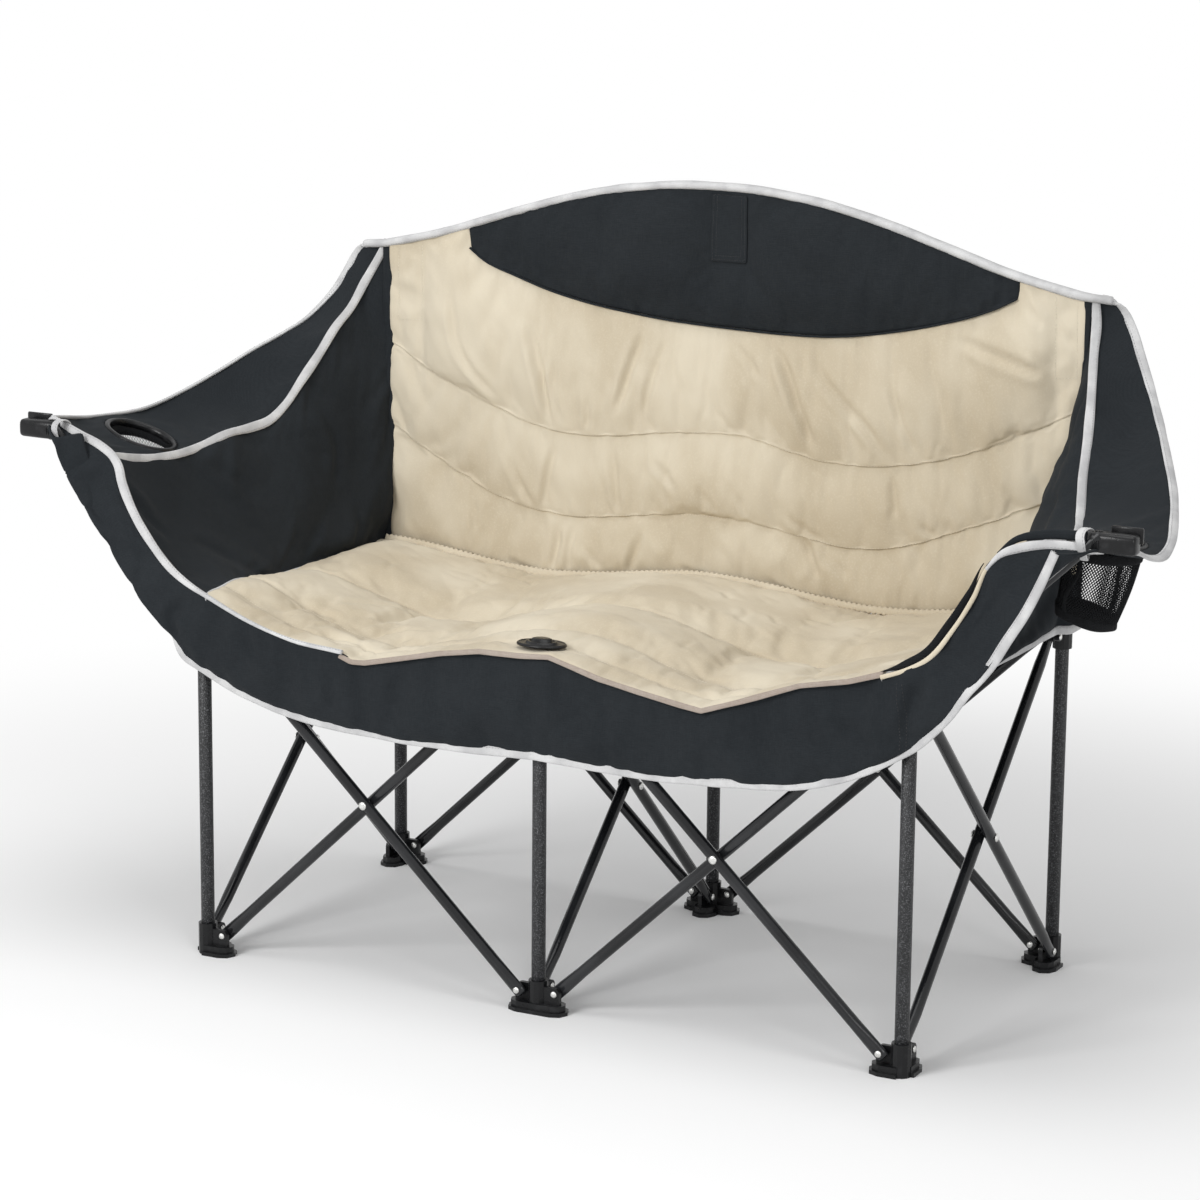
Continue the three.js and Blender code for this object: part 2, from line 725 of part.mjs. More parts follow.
// Under the seat's edge the band has the pad's own columns, so it follows the V closely
function makeBand() {
  const lower = curveThrough(bandLowerShares);
  const upper = curveThrough(bandUpperShares);
  const underSeat = (x) => x < stepBackShare * seatFrontHalfWidth;
  const padStep = (2 * seatFrontHalfWidth) / seatColumns;
  const padHalf = Array.from({ length: seatColumns / 2 }, (_, j) => j * padStep).filter(underSeat);
  const half = [...padHalf, ...bandSideShares.map((share) => share * bandHalfWidth)];
  const xs = [...half.slice(1).reverse().map((x) => -x), ...half];
  const span = bandTipTop - bandBottom;
  const grid = bandRowShares.map((rowShare) => xs.map((x) => {
    const share = Math.abs(x) / bandHalfWidth;
    const top = underSeat(Math.abs(x))
      ? seatHeight(x, bandFace - bandLean) - seatThickness - bandUnderSeat
      : bandBottom + span * upper(share);
    const z = mix(bandBottom + span * lower(share), top, rowShare);
    const lean = bandLean * smooth(bandLeanShare, 1, rowShare) * (1 - smooth(bandTipShare, 1, share));
    return new THREE.Vector3(x, bandFace - lean, z);
  }));
  addPiece('front_band', 'black', slab(grid, () => [bandThickness / 2, bandThickness / 2]));
}

// The arm panel's two long edges, from the rear post forward: shares of its length, with
// how far out and how high each edge lies
const armOuterShares = [
  [0, 0.1], [0.03, 0.3], [0.1, 0.45], [0.2, 0.56], [0.35, 0.7], [0.48, 0.82], [0.62, 0.92], [0.75, 0.98],
  [0.9, 0.98], [1, 0.85],
];
const armOuterRise = [
  [0, 1], [0.03, 0.8], [0.1, 0.53], [0.2, 0.43], [0.35, 0.25], [0.48, 0.12], [0.62, 0.05], [0.75, 0.04],
  [1, 0.08],
];
const armInnerShares = [
  [0, 0.02], [0.04, 0.08], [0.12, 0.13], [0.2, 0.19], [0.36, 0.28], [0.55, 0.4], [1, 0.54],
];
const armInnerRise = [
  [0, 0.97], [0.04, 0.75], [0.12, 0.6], [0.2, 0.42], [0.3, 0.2], [0.37, 0.02], [0.5, -0.03], [1, 0],
];
const armRowShares = [0, 0.17, 0.33, 0.47, 0.53, 0.67, 0.83, 1];
const armSeamShare = 0.5;
const armStripFrontShare = 0.67;

// The side below the inner seam reaches forward to the band, and the strip stops behind the tube
function armPoint(side, share, rowShare) {
  const front = mix(armJoin, armFront, smooth(armSeamShare, armStripFrontShare, rowShare));
  const y = mix(armRear, front, share);
  const height = armTopRear - armStripZ;
  const edge = (reach, lift) => [
    seatHalfWidth + armSeatGap + armOutReach * curveThrough(reach)(share),
    armStripZ + height * curveThrough(lift)(share),
  ];
  const inner = edge(armInnerShares, armInnerRise);
  const outer = edge(armOuterShares, armOuterRise);
  const low = [seatHalf(y) + armSeatGap, seatHeight(seatHalf(y), y) - armUnderSeat];
  const [from, to, t] = rowShare < armSeamShare
    ? [low, inner, rowShare / armSeamShare]
    : [inner, outer, (rowShare - armSeamShare) / (1 - armSeamShare)];
  return new THREE.Vector3(side * mix(from[0], to[0], t), y, mix(from[1], to[1], t));
}

function makeArm(name, side) {
  const lengthSteps = 20;
  const grid = armRowShares.map((rowShare) => Array.from({ length: lengthSteps + 1 }, (_, j) => (
    armPoint(side, j / lengthSteps, rowShare)
  )));
  const sheet = solidOf(slab(grid, () => [armSheet / 2, armSheet / 2]));
  const ringTop = armStripZ + cupRingSeat;
  const holeFrom = [side * cupX, cupY, ringTop - bagDepth];
  const holeTo = [side * cupX, cupY, ringTop + bagDepth];
  const hole = bar(holeFrom, holeTo, cupRingRadius + cupRingPlay, ringSides);
  addPiece(`arm_panel_${name}`, 'black', sheet.subtract(hole));

  const half = cupRingHeight / 2;
  const ring = [
    [cupHoleRadius, -half],
    [cupRingRadius, -half],
    [cupRingRadius, half],
    [cupHoleRadius, half],
    [cupHoleRadius, -half],
  ];
  const ringPiece = addPiece(`cup_ring_${name}`, 'plastic', turned(ring, ringSides));
  ringPiece.position.set(side * cupX, cupY, armStripZ);

  const top = -half - clearance;
  const bottom = top - bagDepth;
  const bag = [
    [0, bottom],
    [bagBottomRadius, bottom],
    [bagTopRadius, top],
    [bagTopRadius - bagWall, top],
    [bagBottomRadius - bagWall, bottom + bagWall],
    [0, bottom + bagWall],
  ];
  const bagPiece = addPiece(`cup_bag_${name}`, 'mesh', turned(bag, bagSides));
  bagPiece.position.set(side * cupX, cupY, armStripZ);
}

function turned(profile, sides) {
  const outline = profile.map(([radius, z]) => new THREE.Vector2(radius, z));
  const geometry = new THREE.LatheGeometry(outline, sides);
  geometry.rotateX(Math.PI / 2);
  return solidOf(geometry);
}

// The moulded cap on the end of an arm tube: a sleeve round the tube, a faceted handle that
// points outward and a clip behind it
function makeCap(name, side, tubeSide) {
  const along = new THREE.Vector3(side * Math.cos(tubeAngle), 0, Math.sin(tubeAngle));
  const y = tubeSide * tubeOffset - bay / 2;
  const pivot = new THREE.Vector3(side * (bay - postInset), y, hubPivotHeight);
  const tip = pivot.clone().addScaledVector(along, armReach + tubeOverhang + clearance);
  const start = tip.clone().addScaledVector(along, -sleeveLength);
  const sleeve = bar(start.toArray(), tip.toArray(), sleeveRadius);
  const low = tip.z + capRise - capHeight / 2;
  const high = low + capHeight;
  const root = tip.x - side * sleeveRadius / 2;
  const end = root + side * capLength;
  const outline = new THREE.Shape();
  outline.moveTo(root, low + capChamfer);
  outline.lineTo(root + side * capChamfer, low);
  outline.lineTo(end - side * capChamfer, low);
  outline.lineTo(end, low + capChamfer);
  outline.lineTo(end, high - capChamfer);
  outline.lineTo(end - side * capChamfer, high);
  outline.lineTo(root, high);
  const east = new THREE.Vector3(1, 0, 0);
  const north = new THREE.Vector3(0, 1, 0);
  const handle = standingPlate(outline, east, north, y - capDepth / 2, y + capDepth / 2);
  const clipFrom = [end - side * (capChamfer + clipLength), y + capDepth / 2 - overrun, high - clipHeight];
  const clipTo = [end - side * capChamfer, y + capDepth / 2 + clipDepth, high];
  const clip = block(
    clipFrom.map((value, axis) => Math.min(value, clipTo[axis])),
    clipFrom.map((value, axis) => Math.max(value, clipTo[axis])),
  );
  const deep = start.clone().addScaledVector(along, -overrun);
  const bore = bar(deep.toArray(), tip.toArray(), tubeRadius + clearance);
  addPiece(`arm_cap_${name}`, 'plastic', sleeve.add(handle).add(clip).subtract(bore));
}

// The button's dome: shares of its radius, with shares of its height
const buttonDomeShares = [[0.48, 0.7], [0.3, 1], [0, 1]];
const buttonDomeFootShare = 0.55;

// The oval button that fastens the seat to the middle front post
function makeButton() {
  const profile = [
    [0, 0],
    [buttonRadius, 0],
    [buttonRadius, buttonRim],
    [buttonDomeFootShare * buttonRadius, buttonRim],
    ...buttonDomeShares.map(([out, up]) => [out * buttonRadius, up * buttonDome]),
  ];
  const outline = profile.map(([radius, z]) => new THREE.Vector2(radius, z));
  const geometry = new THREE.LatheGeometry(outline, buttonSides);
  geometry.rotateX(Math.PI / 2);
  geometry.scale(1, buttonSquash, 1);
  addPiece('seat_button', 'plastic', solidOf(geometry)).position.set(0, buttonY, seatTop + clearance);
}

makePosts();
for (const [name, panel] of Object.entries(panels)) {
  makePanel(name, panel);
}
makeSeat();
makeBack();
makeBand();
makeArm('left', -1);
makeArm('right', 1);
makeCap('left', -1, -1);
makeCap('right', 1, 1);
makeButton();
chair.position.y = originShift;

export default chair;
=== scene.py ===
"""A folding camping loveseat, dressed: padded seat and back, fabric arms and front band, bindings,
net cup bags and the finish of each tube, foot and cap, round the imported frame.

Lengths are in metres in the frame's own axes: X along the seat, the front faces -Y, Z is up.
"""

import math
import random

import bmesh
import bpy
import numpy as np
from mathutils import Matrix, Vector, noise
from mathutils.bvhtree import BVHTree


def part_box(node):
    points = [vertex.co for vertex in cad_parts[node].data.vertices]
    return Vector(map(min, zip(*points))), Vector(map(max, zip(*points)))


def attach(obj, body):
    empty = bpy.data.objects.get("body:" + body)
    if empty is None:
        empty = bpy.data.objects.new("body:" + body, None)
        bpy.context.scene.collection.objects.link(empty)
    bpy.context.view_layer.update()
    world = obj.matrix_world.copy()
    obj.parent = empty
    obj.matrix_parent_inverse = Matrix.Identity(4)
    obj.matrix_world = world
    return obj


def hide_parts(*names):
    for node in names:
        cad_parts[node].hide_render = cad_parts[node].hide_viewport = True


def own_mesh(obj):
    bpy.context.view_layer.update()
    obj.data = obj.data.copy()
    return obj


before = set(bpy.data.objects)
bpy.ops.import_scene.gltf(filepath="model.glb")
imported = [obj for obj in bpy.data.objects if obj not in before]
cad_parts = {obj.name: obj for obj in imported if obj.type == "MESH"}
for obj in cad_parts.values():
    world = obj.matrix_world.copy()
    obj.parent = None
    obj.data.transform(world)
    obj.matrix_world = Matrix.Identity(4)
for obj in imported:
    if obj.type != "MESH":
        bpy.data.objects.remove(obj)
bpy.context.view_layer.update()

# Frame grid, as in the part's source
BAY = 0.5
ROW_SHIFT = 0.0094
FRONT_ROW = ROW_SHIFT - BAY / 2
REAR_ROW = ROW_SHIFT + BAY / 2
POST_INSET = 0.025
FOOT_PIVOT = 0.027
HUB_PIVOT = 0.451
TUBE_RADIUS = 0.0075
TUBE_OFFSET = 0.008
TUBE_OVERHANG = 0.008
ARM_REACH = 0.337
POST_RADIUS = 0.009
ROD_RADIUS = 0.007

# Cover
SEAT_TOP = 0.48
SEAT_THICKNESS = 0.016
SEAT_HALF = 0.514
SEAT_FRONT_HALF = 0.478
SEAT_FRONT = FRONT_ROW - 0.033
SEAT_REAR = 0.2275
SEAT_SEAM = 0.0014
SEAT_HINGE = 0.2434
BUTTON_SETBACK = 0.037
SEAM_DEPTH = 0.0035
BACK_FRONT_FACE = 0.2289
BACK_REAR_FACE = 0.2469
BACK_SIDES = {-1: -0.503, 1: 0.5275}
TOP_PANEL = (-0.371, 0.432)
PANEL_GAP = 0.0008
PANEL_LAP = 0.004
CLOTH = 0.0022
OPEN_SIDE = (0.45, -0.86, 0.24)
FORWARD = (0, -1, 0)
UPWARD = (0, 0, 1)
TAPE_SIDES = 12
SIM_FRAMES = 18
NET_AROUND, NET_DOWN, NET_FLOOR_RINGS = 72, 36, 7

CORNERS = {
    "FL": (-BAY, FRONT_ROW),
    "FC": (0.0, FRONT_ROW),
    "FR": (BAY, FRONT_ROW),
    "BL": (-BAY, REAR_ROW),
    "BC": (0.0, REAR_ROW),
    "BR": (BAY, REAR_ROW),
}
LEG_BODIES = {
    "FL": "left_front_leg",
    "FC": "middle_front_leg",
    "FR": "right_front_leg",
    "BL": "left_rear_leg",
    "BC": "middle_rear_leg",
    "BR": "right_rear_leg",
}
HUB_BODIES = {post: body.replace("leg", "hub") for post, body in LEG_BODIES.items()}

# Each crossing pair: its first and second post, and the side of the post plane that the tube from
# the first foot lies on, along +X or +Y
PANELS = {
    "back_left": ("BC", "BL", -1),
    "back_right": ("BC", "BR", 1),
    "centre": ("BC", "FC", 1),
    "front_left": ("FC", "FL", -1),
    "front_right": ("FC", "FR", 1),
    "side_left": ("BL", "FL", 1),
    "side_right": ("BR", "FR", 1),
}


def metres(table):
    """Places that are written in millimetres."""
    return (np.array(table) / 1000).tolist()


def creases(*rows):
    return [(strength, metres(line)) for strength, *line in rows]


# The front rail: the one binding from each pole cap, past the end of the inner arm seam, down to the
# seat pad's corner, and on the left along the pad's edge
FRONT_RAIL = {
    -1: metres([
        (-742, -232, 697), (-696, -235, 680), (-663, -235, 668), (-643, -235, 655), (-633, -238, 645),
        (-622, -245, 624), (-597, -255, 587), (-565, -262, 551), (-529, -268, 520), (-501, -270, 504),
        (-474, -272, 493), (-404, -274.5, 466), (-348, -274.5, 451), (-268, -274.5, 443),
    ]),
    1: metres([
        (728, -228, 671), (708, -233, 670), (686, -236, 672), (660, -238, 671), (631, -242, 665),
        (613, -250, 658), (597, -256, 640), (584, -262, 606), (562, -268, 566), (533, -272, 528),
        (505, -272, 511), (474, -273, 499),
    ]),
}
SEAM_END = 3
PAD_CORNER = {-1: 10, 1: 11}

# The arm's seams from the back forward; each ends on the rail
ARM_INNER = {
    -1: metres([
        (-509, 244, 898), (-522, 243, 876), (-540, 234, 841), (-548, 205, 804), (-557, 183, 782),
        (-567, 157, 748), (-575, 121, 713), (-585, 91, 680), (-593, 69, 664), (-603, 35, 657),
        (-614, -5, 654), (-629, -45, 642), (-633, -90, 638), (-641, -160, 641),
    ]),
    1: metres([
        (533, 243, 893), (537, 241, 866), (541, 225, 826), (561, 165, 762), (573, 125, 723),
        (582, 90, 691), (596, 50, 666), (617, -10, 653), (636, -70, 652), (648, -140, 658),
        (655, -200, 667),
    ]),
}
ARM_OUTER = {
    -1: metres([
        (-524, 252, 890), (-548, 254, 891), (-565, 256, 879), (-581, 255, 855), (-594, 248, 831),
        (-610, 235, 807), (-626, 216, 785), (-647, 180, 764), (-670, 137, 744), (-690, 100, 724),
        (-714, 45, 700), (-735, -30, 681), (-750, -100, 680), (-749, -160, 686), (-744, -210, 694),
    ]),
    1: metres([
        (540, 251, 891), (552, 253, 889), (565, 256, 879), (581, 255, 854), (594, 248, 827),
        (617, 225, 790), (652, 170, 751), (685, 108, 720), (714, 50, 692), (740, -20, 665),
        (754, -70, 651), (758, -110, 644), (756, -150, 650), (752, -190, 664),
    ]),
}
ARM_BULGE = {-1: 0.008, 1: 0.036}
CUP_CENTRE = {-1: (-0.686, -0.1076, 0.660), 1: (0.686, -0.1076, 0.654)}
CUP_TILT = {-1: (20.0, 4.0), 1: (-4.0, 0.0)}

BAND_LOW = {
    -1: metres([
        (0, 340), (130, 336), (268, 340), (358, 350), (432, 369), (475, 386), (520, 407), (562, 443),
        (585, 474), (608, 505), (631, 539), (662, 589), (684, 634), (701, 676),
    ]),
    1: metres([
        (0, 340), (130, 336), (268, 340), (358, 350), (432, 371), (475, 393), (512, 416), (537, 437),
        (558, 458), (590, 500), (614, 529), (633, 561), (655, 597), (673, 634), (689, 672),
    ]),
}

# Edges and seams of the pads, as X, Z
SEAT_FRONT_EDGE = metres([
    (-520, 510), (-474, 494), (-405, 467), (-349, 452), (-275, 441), (-255, 433.5), (-235, 434.5),
    (-184, 446), (-126, 459.5), (-68, 469), (-11, 470), (30, 473), (100, 454), (155, 444), (210, 435),
    (240, 431), (290, 448), (370, 478), (434, 491), (474, 504), (520, 514),
])
BACK_TOP = metres([
    (0, 1003), (60, 1002), (110, 996), (165, 988), (236, 971), (310, 949), (370, 930), (410, 917),
    (460, 905), (488, 899), (540, 888),
])
TOP_PANEL_EDGE = metres([
    (-373, 900), (-349, 883), (-302, 866), (-243, 848), (-174, 834), (-117, 826.5), (-60, 821),
    (-4, 818), (52, 816), (107, 815), (161, 816), (204, 820), (268, 831), (320.5, 843), (372, 858),
    (403, 870), (432, 885),
])
UPPER_SEAM = metres([
    (-520, 772), (-491, 755), (-449, 729), (-393, 702), (-337, 682), (-287, 665), (-237, 655),
    (-195, 653), (-133, 658), (-73, 668), (-20, 672), (28, 674), (75, 670), (110, 658), (175, 648),
    (238, 649), (300, 658), (362, 675), (422, 698), (481, 726), (530, 752),
])
LOWER_SEAM = metres([
    (-520, 655), (-490, 639), (-449, 614), (-393, 584), (-337, 559), (-278, 544), (-214, 538),
    (-152, 544), (-91, 553), (-30, 559), (10, 559), (77, 555), (195, 536), (254, 540), (302, 552),
    (359, 575), (418, 597), (480, 626), (530, 650),
])

POCKET_SEAMS = [
    metres([(-485, 896), (-486, 791), (-449, 793), (-449, 900)]),
    metres([(484, 890), (487, 787), (516, 789), (513, 890)]),
]
ARM_END_STRIP = metres([(706, -223, 683), (657, -226, 681), (622, -234, 672), (604, -240, 655)])

# Creases in the cloth: how strong each one is, and its line in millimetres, as X, Z on the back and
# band, X, Y on the seat and Y, Z on the arms
BACK_CREASES = creases(
    (1.0, (-399, 873), (-395, 822), (-387, 770), (-320, 685)),
    (1.7, (-285, 826), (-257, 732), (-241, 657)), (0.9, (-234, 768), (-238, 706), (-226, 662)),
    (1.7, (-97, 816), (-116, 764), (-145, 680)), (1.0, (-63, 805), (-78, 770), (-103, 683)),
    (0.7, (-184, 714), (-187, 659)), (1.0, (-316, 626), (-296, 583), (-268, 543)),
    (0.9, (-237, 640), (-249, 594), (-256, 544)), (1.3, (-150, 645), (-144, 590), (-138, 549)),
    (0.9, (-91, 633), (-68, 611), (-45, 589)), (0.7, (-15, 606), (-7, 565)),
    (0.8, (-363, 548), (-359, 502)), (1.0, (-237, 532), (-232, 505), (-240, 458)),
    (1.0, (-209, 535), (-215, 457)), (0.9, (-98, 539), (-109, 500), (-124, 467)),
    (0.7, (-193, 505), (-162, 470)), (0.7, (-315, 471), (-268, 455)), (0.7, (-47, 489), (-6, 473)),
    (2.0, (77, 813), (107, 775), (130, 720), (157, 659)),
    (1.7, (150, 805), (158, 772), (195, 729), (235, 693), (258, 658)),
    (0.8, (170, 710), (193, 669), (197, 653)), (0.9, (258, 777), (277, 716), (300, 665)),
    (1.7, (337, 832), (396, 814), (448, 799), (483, 789)), (0.8, (446, 879), (470, 849)),
    (0.8, (454, 822), (486, 796)), (0.8, (26, 805), (60, 771), (79, 749)), (0.6, (9, 706), (28, 678)),
    (1.3, (263, 645), (272, 583)), (0.8, (108, 577), (145, 553), (167, 542)),
    (0.7, (-11, 596), (12, 564)), (0.7, (45, 598), (56, 561)), (0.7, (306, 580), (324, 565)),
    (1.3, (134, 545), (157, 510), (165, 491)), (0.8, (171, 526), (208, 499)),
    (0.9, (76, 488), (102, 474), (154, 452)),
)
SEAT_CREASES = creases(
    (1.0, (-434, -202), (-407, -191), (-400, -139)), (1.0, (-423, -146), (-383, -142), (-346, -146)),
    (1.2, (-384, -128), (-362, -90), (-312, -18)), (0.8, (-367, -199), (-350, -146)),
    (1.2, (-335, -171), (-311, -117), (-311, -72), (-277, -13)),
    (1.3, (-345, -227), (-309, -214), (-244, -234), (-211, -251)), (0.8, (-361, -239), (-362, -195)),
    (0.8, (-242, -187), (-254, -149), (-239, -142)), (1.0, (-195, -229), (-227, -137)),
    (0.8, (-189, 14), (-213, 119)), (1.0, (-118, -72), (-156, 72), (-158, 125)),
    (0.7, (-401, 50), (-413, 96)), (1.0, (-304, -190), (-286, -127), (-231, -111)),
    (0.7, (-66, -68), (-26, -25)), (0.9, (-15, -14), (-33, 52), (-35, 105)),
    (0.7, (133, -131), (131, -72)), (0.7, (70, 133), (91, 112)),
    (0.8, (116, 102), (130, 81), (131, 45)), (0.7, (91, 23), (82, 56)), (0.7, (157, 104), (177, 76)),
    (0.8, (138, -127), (173, -142), (192, -152)), (0.7, (49, -127), (69, -159)),
    (0.7, (290, 69), (321, 54)),
)
BAND_CREASES = creases(
    (1.6, (543, 515), (520, 485), (508, 450), (507, 422)),
    (1.2, (-499, 488), (-515, 479), (-531, 457), (-524, 425)),
    (0.7, (-420, 455), (-400, 425), (-345, 405)), (0.8, (-300, 430), (-287, 400), (-290, 360)),
    (0.6, (-180, 430), (-200, 395)), (0.6, (105, 440), (75, 405), (30, 385)),
    (0.7, (330, 440), (365, 410), (420, 400)), (0.8, (410, 455), (440, 425), (470, 410)),
    (0.6, (-590, 560), (-575, 520), (-580, 490)), (0.6, (640, 640), (610, 600), (570, 540)),
)
ARM_CREASES = {
    -1: creases(
        (1.2, (-262, 618), (-240, 600), (-222, 572), (-200, 540)),
        (1.3, (-200, 540), (-158, 532), (-111, 503), (-50, 460)),
        (0.8, (130, 690), (150, 620), (130, 560)), (0.7, (-60, 630), (-20, 590), (0, 560)),
        (0.8, (140, 475), (155, 505), (165, 540)), (0.6, (200, 457), (185, 500)),
    ),
    1: creases(
        (1.0, (205, 800), (175, 720), (160, 640)), (0.9, (120, 690), (110, 610), (140, 540)),
        (0.8, (20, 630), (0, 570), (30, 510)), (0.8, (-180, 610), (-150, 560), (-90, 510)),
    ),
}


# Shader maths


class Wire:
    """A shader socket that adds, subtracts and scales like a number."""

    def __init__(self, finish, socket):
        self.finish = finish
        self.socket = socket

    def _math(self, operation, *terms):
        return self.finish.node("ShaderNodeMath", {"operation": operation}, dict(enumerate(terms)))

    def __add__(self, other):
        return self._math("ADD", self, other)

    __radd__ = __add__

    def __sub__(self, other):
        return self._math("SUBTRACT", self, other)

    def __mul__(self, other):
        return self._math("MULTIPLY", self, other)

    __rmul__ = __mul__

    def __pow__(self, other):
        return self._math("POWER", self, other)

    def sine(self):
        return self._math("SINE", self)

    def above(self, limit):
        return self._math("GREATER_THAN", self, limit)

    def span(self, low, high):
        """0 below low, 1 above high and smooth between them."""
        inputs = {"Value": self, "From Min": low, "From Max": high}
        return self.finish.node("ShaderNodeMapRange", {"interpolation_type": "SMOOTHSTEP"}, inputs)


class Finish:
    """A material, with its nodes made by one method."""

    def __init__(self, name, colour=(0.5, 0.5, 0.5), **fixed):
        self.material = bpy.data.materials.new(name)
        self.material.use_nodes = True
        self.tree = self.material.node_tree
        self.shader = self.tree.nodes["Principled BSDF"]
        self.material.diffuse_color = (*colour, 1)
        self.shader.inputs["Base Color"].default_value = (*colour, 1)
        for key, value in fixed.items():
            self.shader.inputs[key.replace("_", " ").title().replace("Ior", "IOR")].default_value = value

    def fill(self, node, inputs):
        for key, value in inputs.items():
            if isinstance(value, Wire):
                self.tree.links.new(value.socket, node.inputs[key])
            else:
                node.inputs[key].default_value = value

    def node(self, kind, settings=None, inputs=None, output=0):
        made = self.tree.nodes.new(kind)
        for key, value in (settings or {}).items():
            setattr(made, key, value)
        self.fill(made, inputs or {})
        return Wire(self, made.outputs[output])

    def place(self):
        return self.node("ShaderNodeTexCoord", output="Object")

    def axes(self, place):
        split = self.tree.nodes.new("ShaderNodeSeparateXYZ")
        self.fill(split, {"Vector": place})
        return [Wire(self, socket) for socket in split.outputs]

    def noise(self, place, scale, detail=2.0, roughness=0.5):
        inputs = {"Vector": place, "Scale": scale, "Detail": detail, "Roughness": roughness}
        return self.node("ShaderNodeTexNoise", None, inputs)

    def stretched(self, place, x, y, z):
        return self.node("ShaderNodeVectorMath", {"operation": "MULTIPLY"}, {0: place, 1: (x, y, z)})

    def blend(self, first, second, factor):
        inputs = {"Factor": factor, 6: first, 7: second}
        return self.node("ShaderNodeMix", {"data_type": "RGBA"}, inputs, output=2)

    def bump(self, height, distance):
        return self.node("ShaderNodeBump", None, {"Height": height, "Distance": distance, "Strength": 1.0})

    def finish(self, **links):
        for key, value in links.items():
            self.fill(self.shader, {key.replace("_", " ").title(): value})
        return self.material


def rgba(red, green, blue):
    return (red, green, blue, 1)


def woven(name, colour, light, pitch):
    """A plain weave, whose threads show as a fine check in relief and colour."""
    cloth = Finish(name, colour, roughness=0.88, sheen_weight=0.02, specular_ior_level=0.12)
    place = cloth.place()
    x, y, z = cloth.axes(place)
    turns = 2 * math.pi / pitch
    weave = (x * turns).sine() * ((y + z) * turns).sine() + (y * turns).sine() * (z * turns).sine()
    threads = cloth.noise(cloth.stretched(place, 60, 900, 900), 1.0, 1.0)
    threads = threads + cloth.noise(cloth.stretched(place, 900, 900, 60), 1.0, 1.0)
    patches = cloth.noise(place, 9.0, 3.0)
    fluff = cloth.noise(place, 140.0, 2.0)
    shade = patches * 0.35 + fluff * 0.2 + threads * 0.25 + weave * 0.06
    tint = cloth.blend(rgba(*colour), rgba(*light), shade.span(0.3, 0.75))
    height = weave * 0.5 + threads * 0.8 + fluff * 0.6
    return cloth.finish(base_color=tint, normal=cloth.bump(height, 0.00012), roughness=0.8 + fluff * 0.16)


def cream_cloth():
    colour = (0.59, 0.525, 0.405)
    cloth = Finish("cream_peach_cloth", colour, sheen_weight=0.12, specular_ior_level=0.12)
    place = cloth.place()
    patches = cloth.noise(cloth.stretched(place, 7, 7, 4), 1.0, 5.0)
    nap = cloth.noise(place, 420.0, 2.0)
    threads = cloth.noise(cloth.stretched(place, 1400, 200, 60), 1.0, 1.0)
    threads = threads + cloth.noise(cloth.stretched(place, 60, 1400, 1400), 1.0, 1.0)
    tint = cloth.blend(rgba(0.525, 0.452, 0.333), rgba(0.645, 0.58, 0.458), patches.span(0.34, 0.66))
    tint = cloth.blend(tint, rgba(0.67, 0.615, 0.50), nap.span(0.45, 0.8) * 0.3)
    relief = cloth.bump(threads * 0.5 + nap * 0.8, 0.00015)
    return cloth.finish(base_color=tint, normal=relief, roughness=0.84 + nap * 0.12)


def grey_tape():
    colour = (0.55, 0.55, 0.55)
    tape = Finish("grey_binding_tape", colour, sheen_weight=0.05, specular_ior_level=0.15)
    place = tape.place()
    ribs = tape.noise(tape.stretched(place, 900, 900, 900), 1.0, 1.0)
    patches = tape.noise(place, 30.0, 3.0)
    tint = tape.blend(rgba(0.46, 0.46, 0.465), rgba(0.62, 0.62, 0.62), patches.span(0.3, 0.7))
    tint = tape.blend(tint, rgba(0.38, 0.38, 0.385), ribs.span(0.55, 0.75) * 0.4)
    return tape.finish(base_color=tint, normal=tape.bump(ribs, 0.0002), roughness=0.8 + patches * 0.1)


def hammered_paint():
    colour = (0.03, 0.031, 0.034)
    paint = Finish("hammered_black_paint", colour, metallic=0.0, specular_ior_level=0.45)
    place = paint.place()
    cells = {"Vector": place, "Scale": 560.0}
    dimples = paint.node("ShaderNodeTexVoronoi", {"feature": "SMOOTH_F1"}, cells)
    grains = paint.noise(place, 820.0, 2.0)
    worn = paint.noise(place, 25.0, 3.0)
    tint = paint.blend(rgba(0.008, 0.0085, 0.0095), rgba(0.15, 0.153, 0.162), grains.span(0.5, 0.74))
    relief = paint.bump(dimples + grains * 0.6, 0.0007)
    return paint.finish(base_color=tint, normal=relief, roughness=0.3 + worn * 0.2)


def hard_finish(name, colour, shades, grain, relief, wear, worn, roughness, **fixed):
    """A hard surface: fine grain in relief, and coarser wear in its colour and gloss."""
    surface = Finish(name, colour, **fixed)
    place = surface.place()
    fine, coarse = surface.noise(place, *grain), surface.noise(place, *wear)
    tint = surface.blend(*[rgba(*shade) for shade in shades], coarse.span(*worn))
    low, more = roughness
    return surface.finish(base_color=tint, normal=surface.bump(fine, relief), roughness=low + coarse * more)


def thread(name, colour):
    yarn = Finish(name, colour, roughness=0.8, sheen_weight=0.1)
    twist = yarn.noise(yarn.place(), 1500.0, 1.0)
    dark = [0.7 * value for value in colour]
    return yarn.finish(base_color=yarn.blend(rgba(*dark), rgba(*colour), twist.span(0.3, 0.6)))


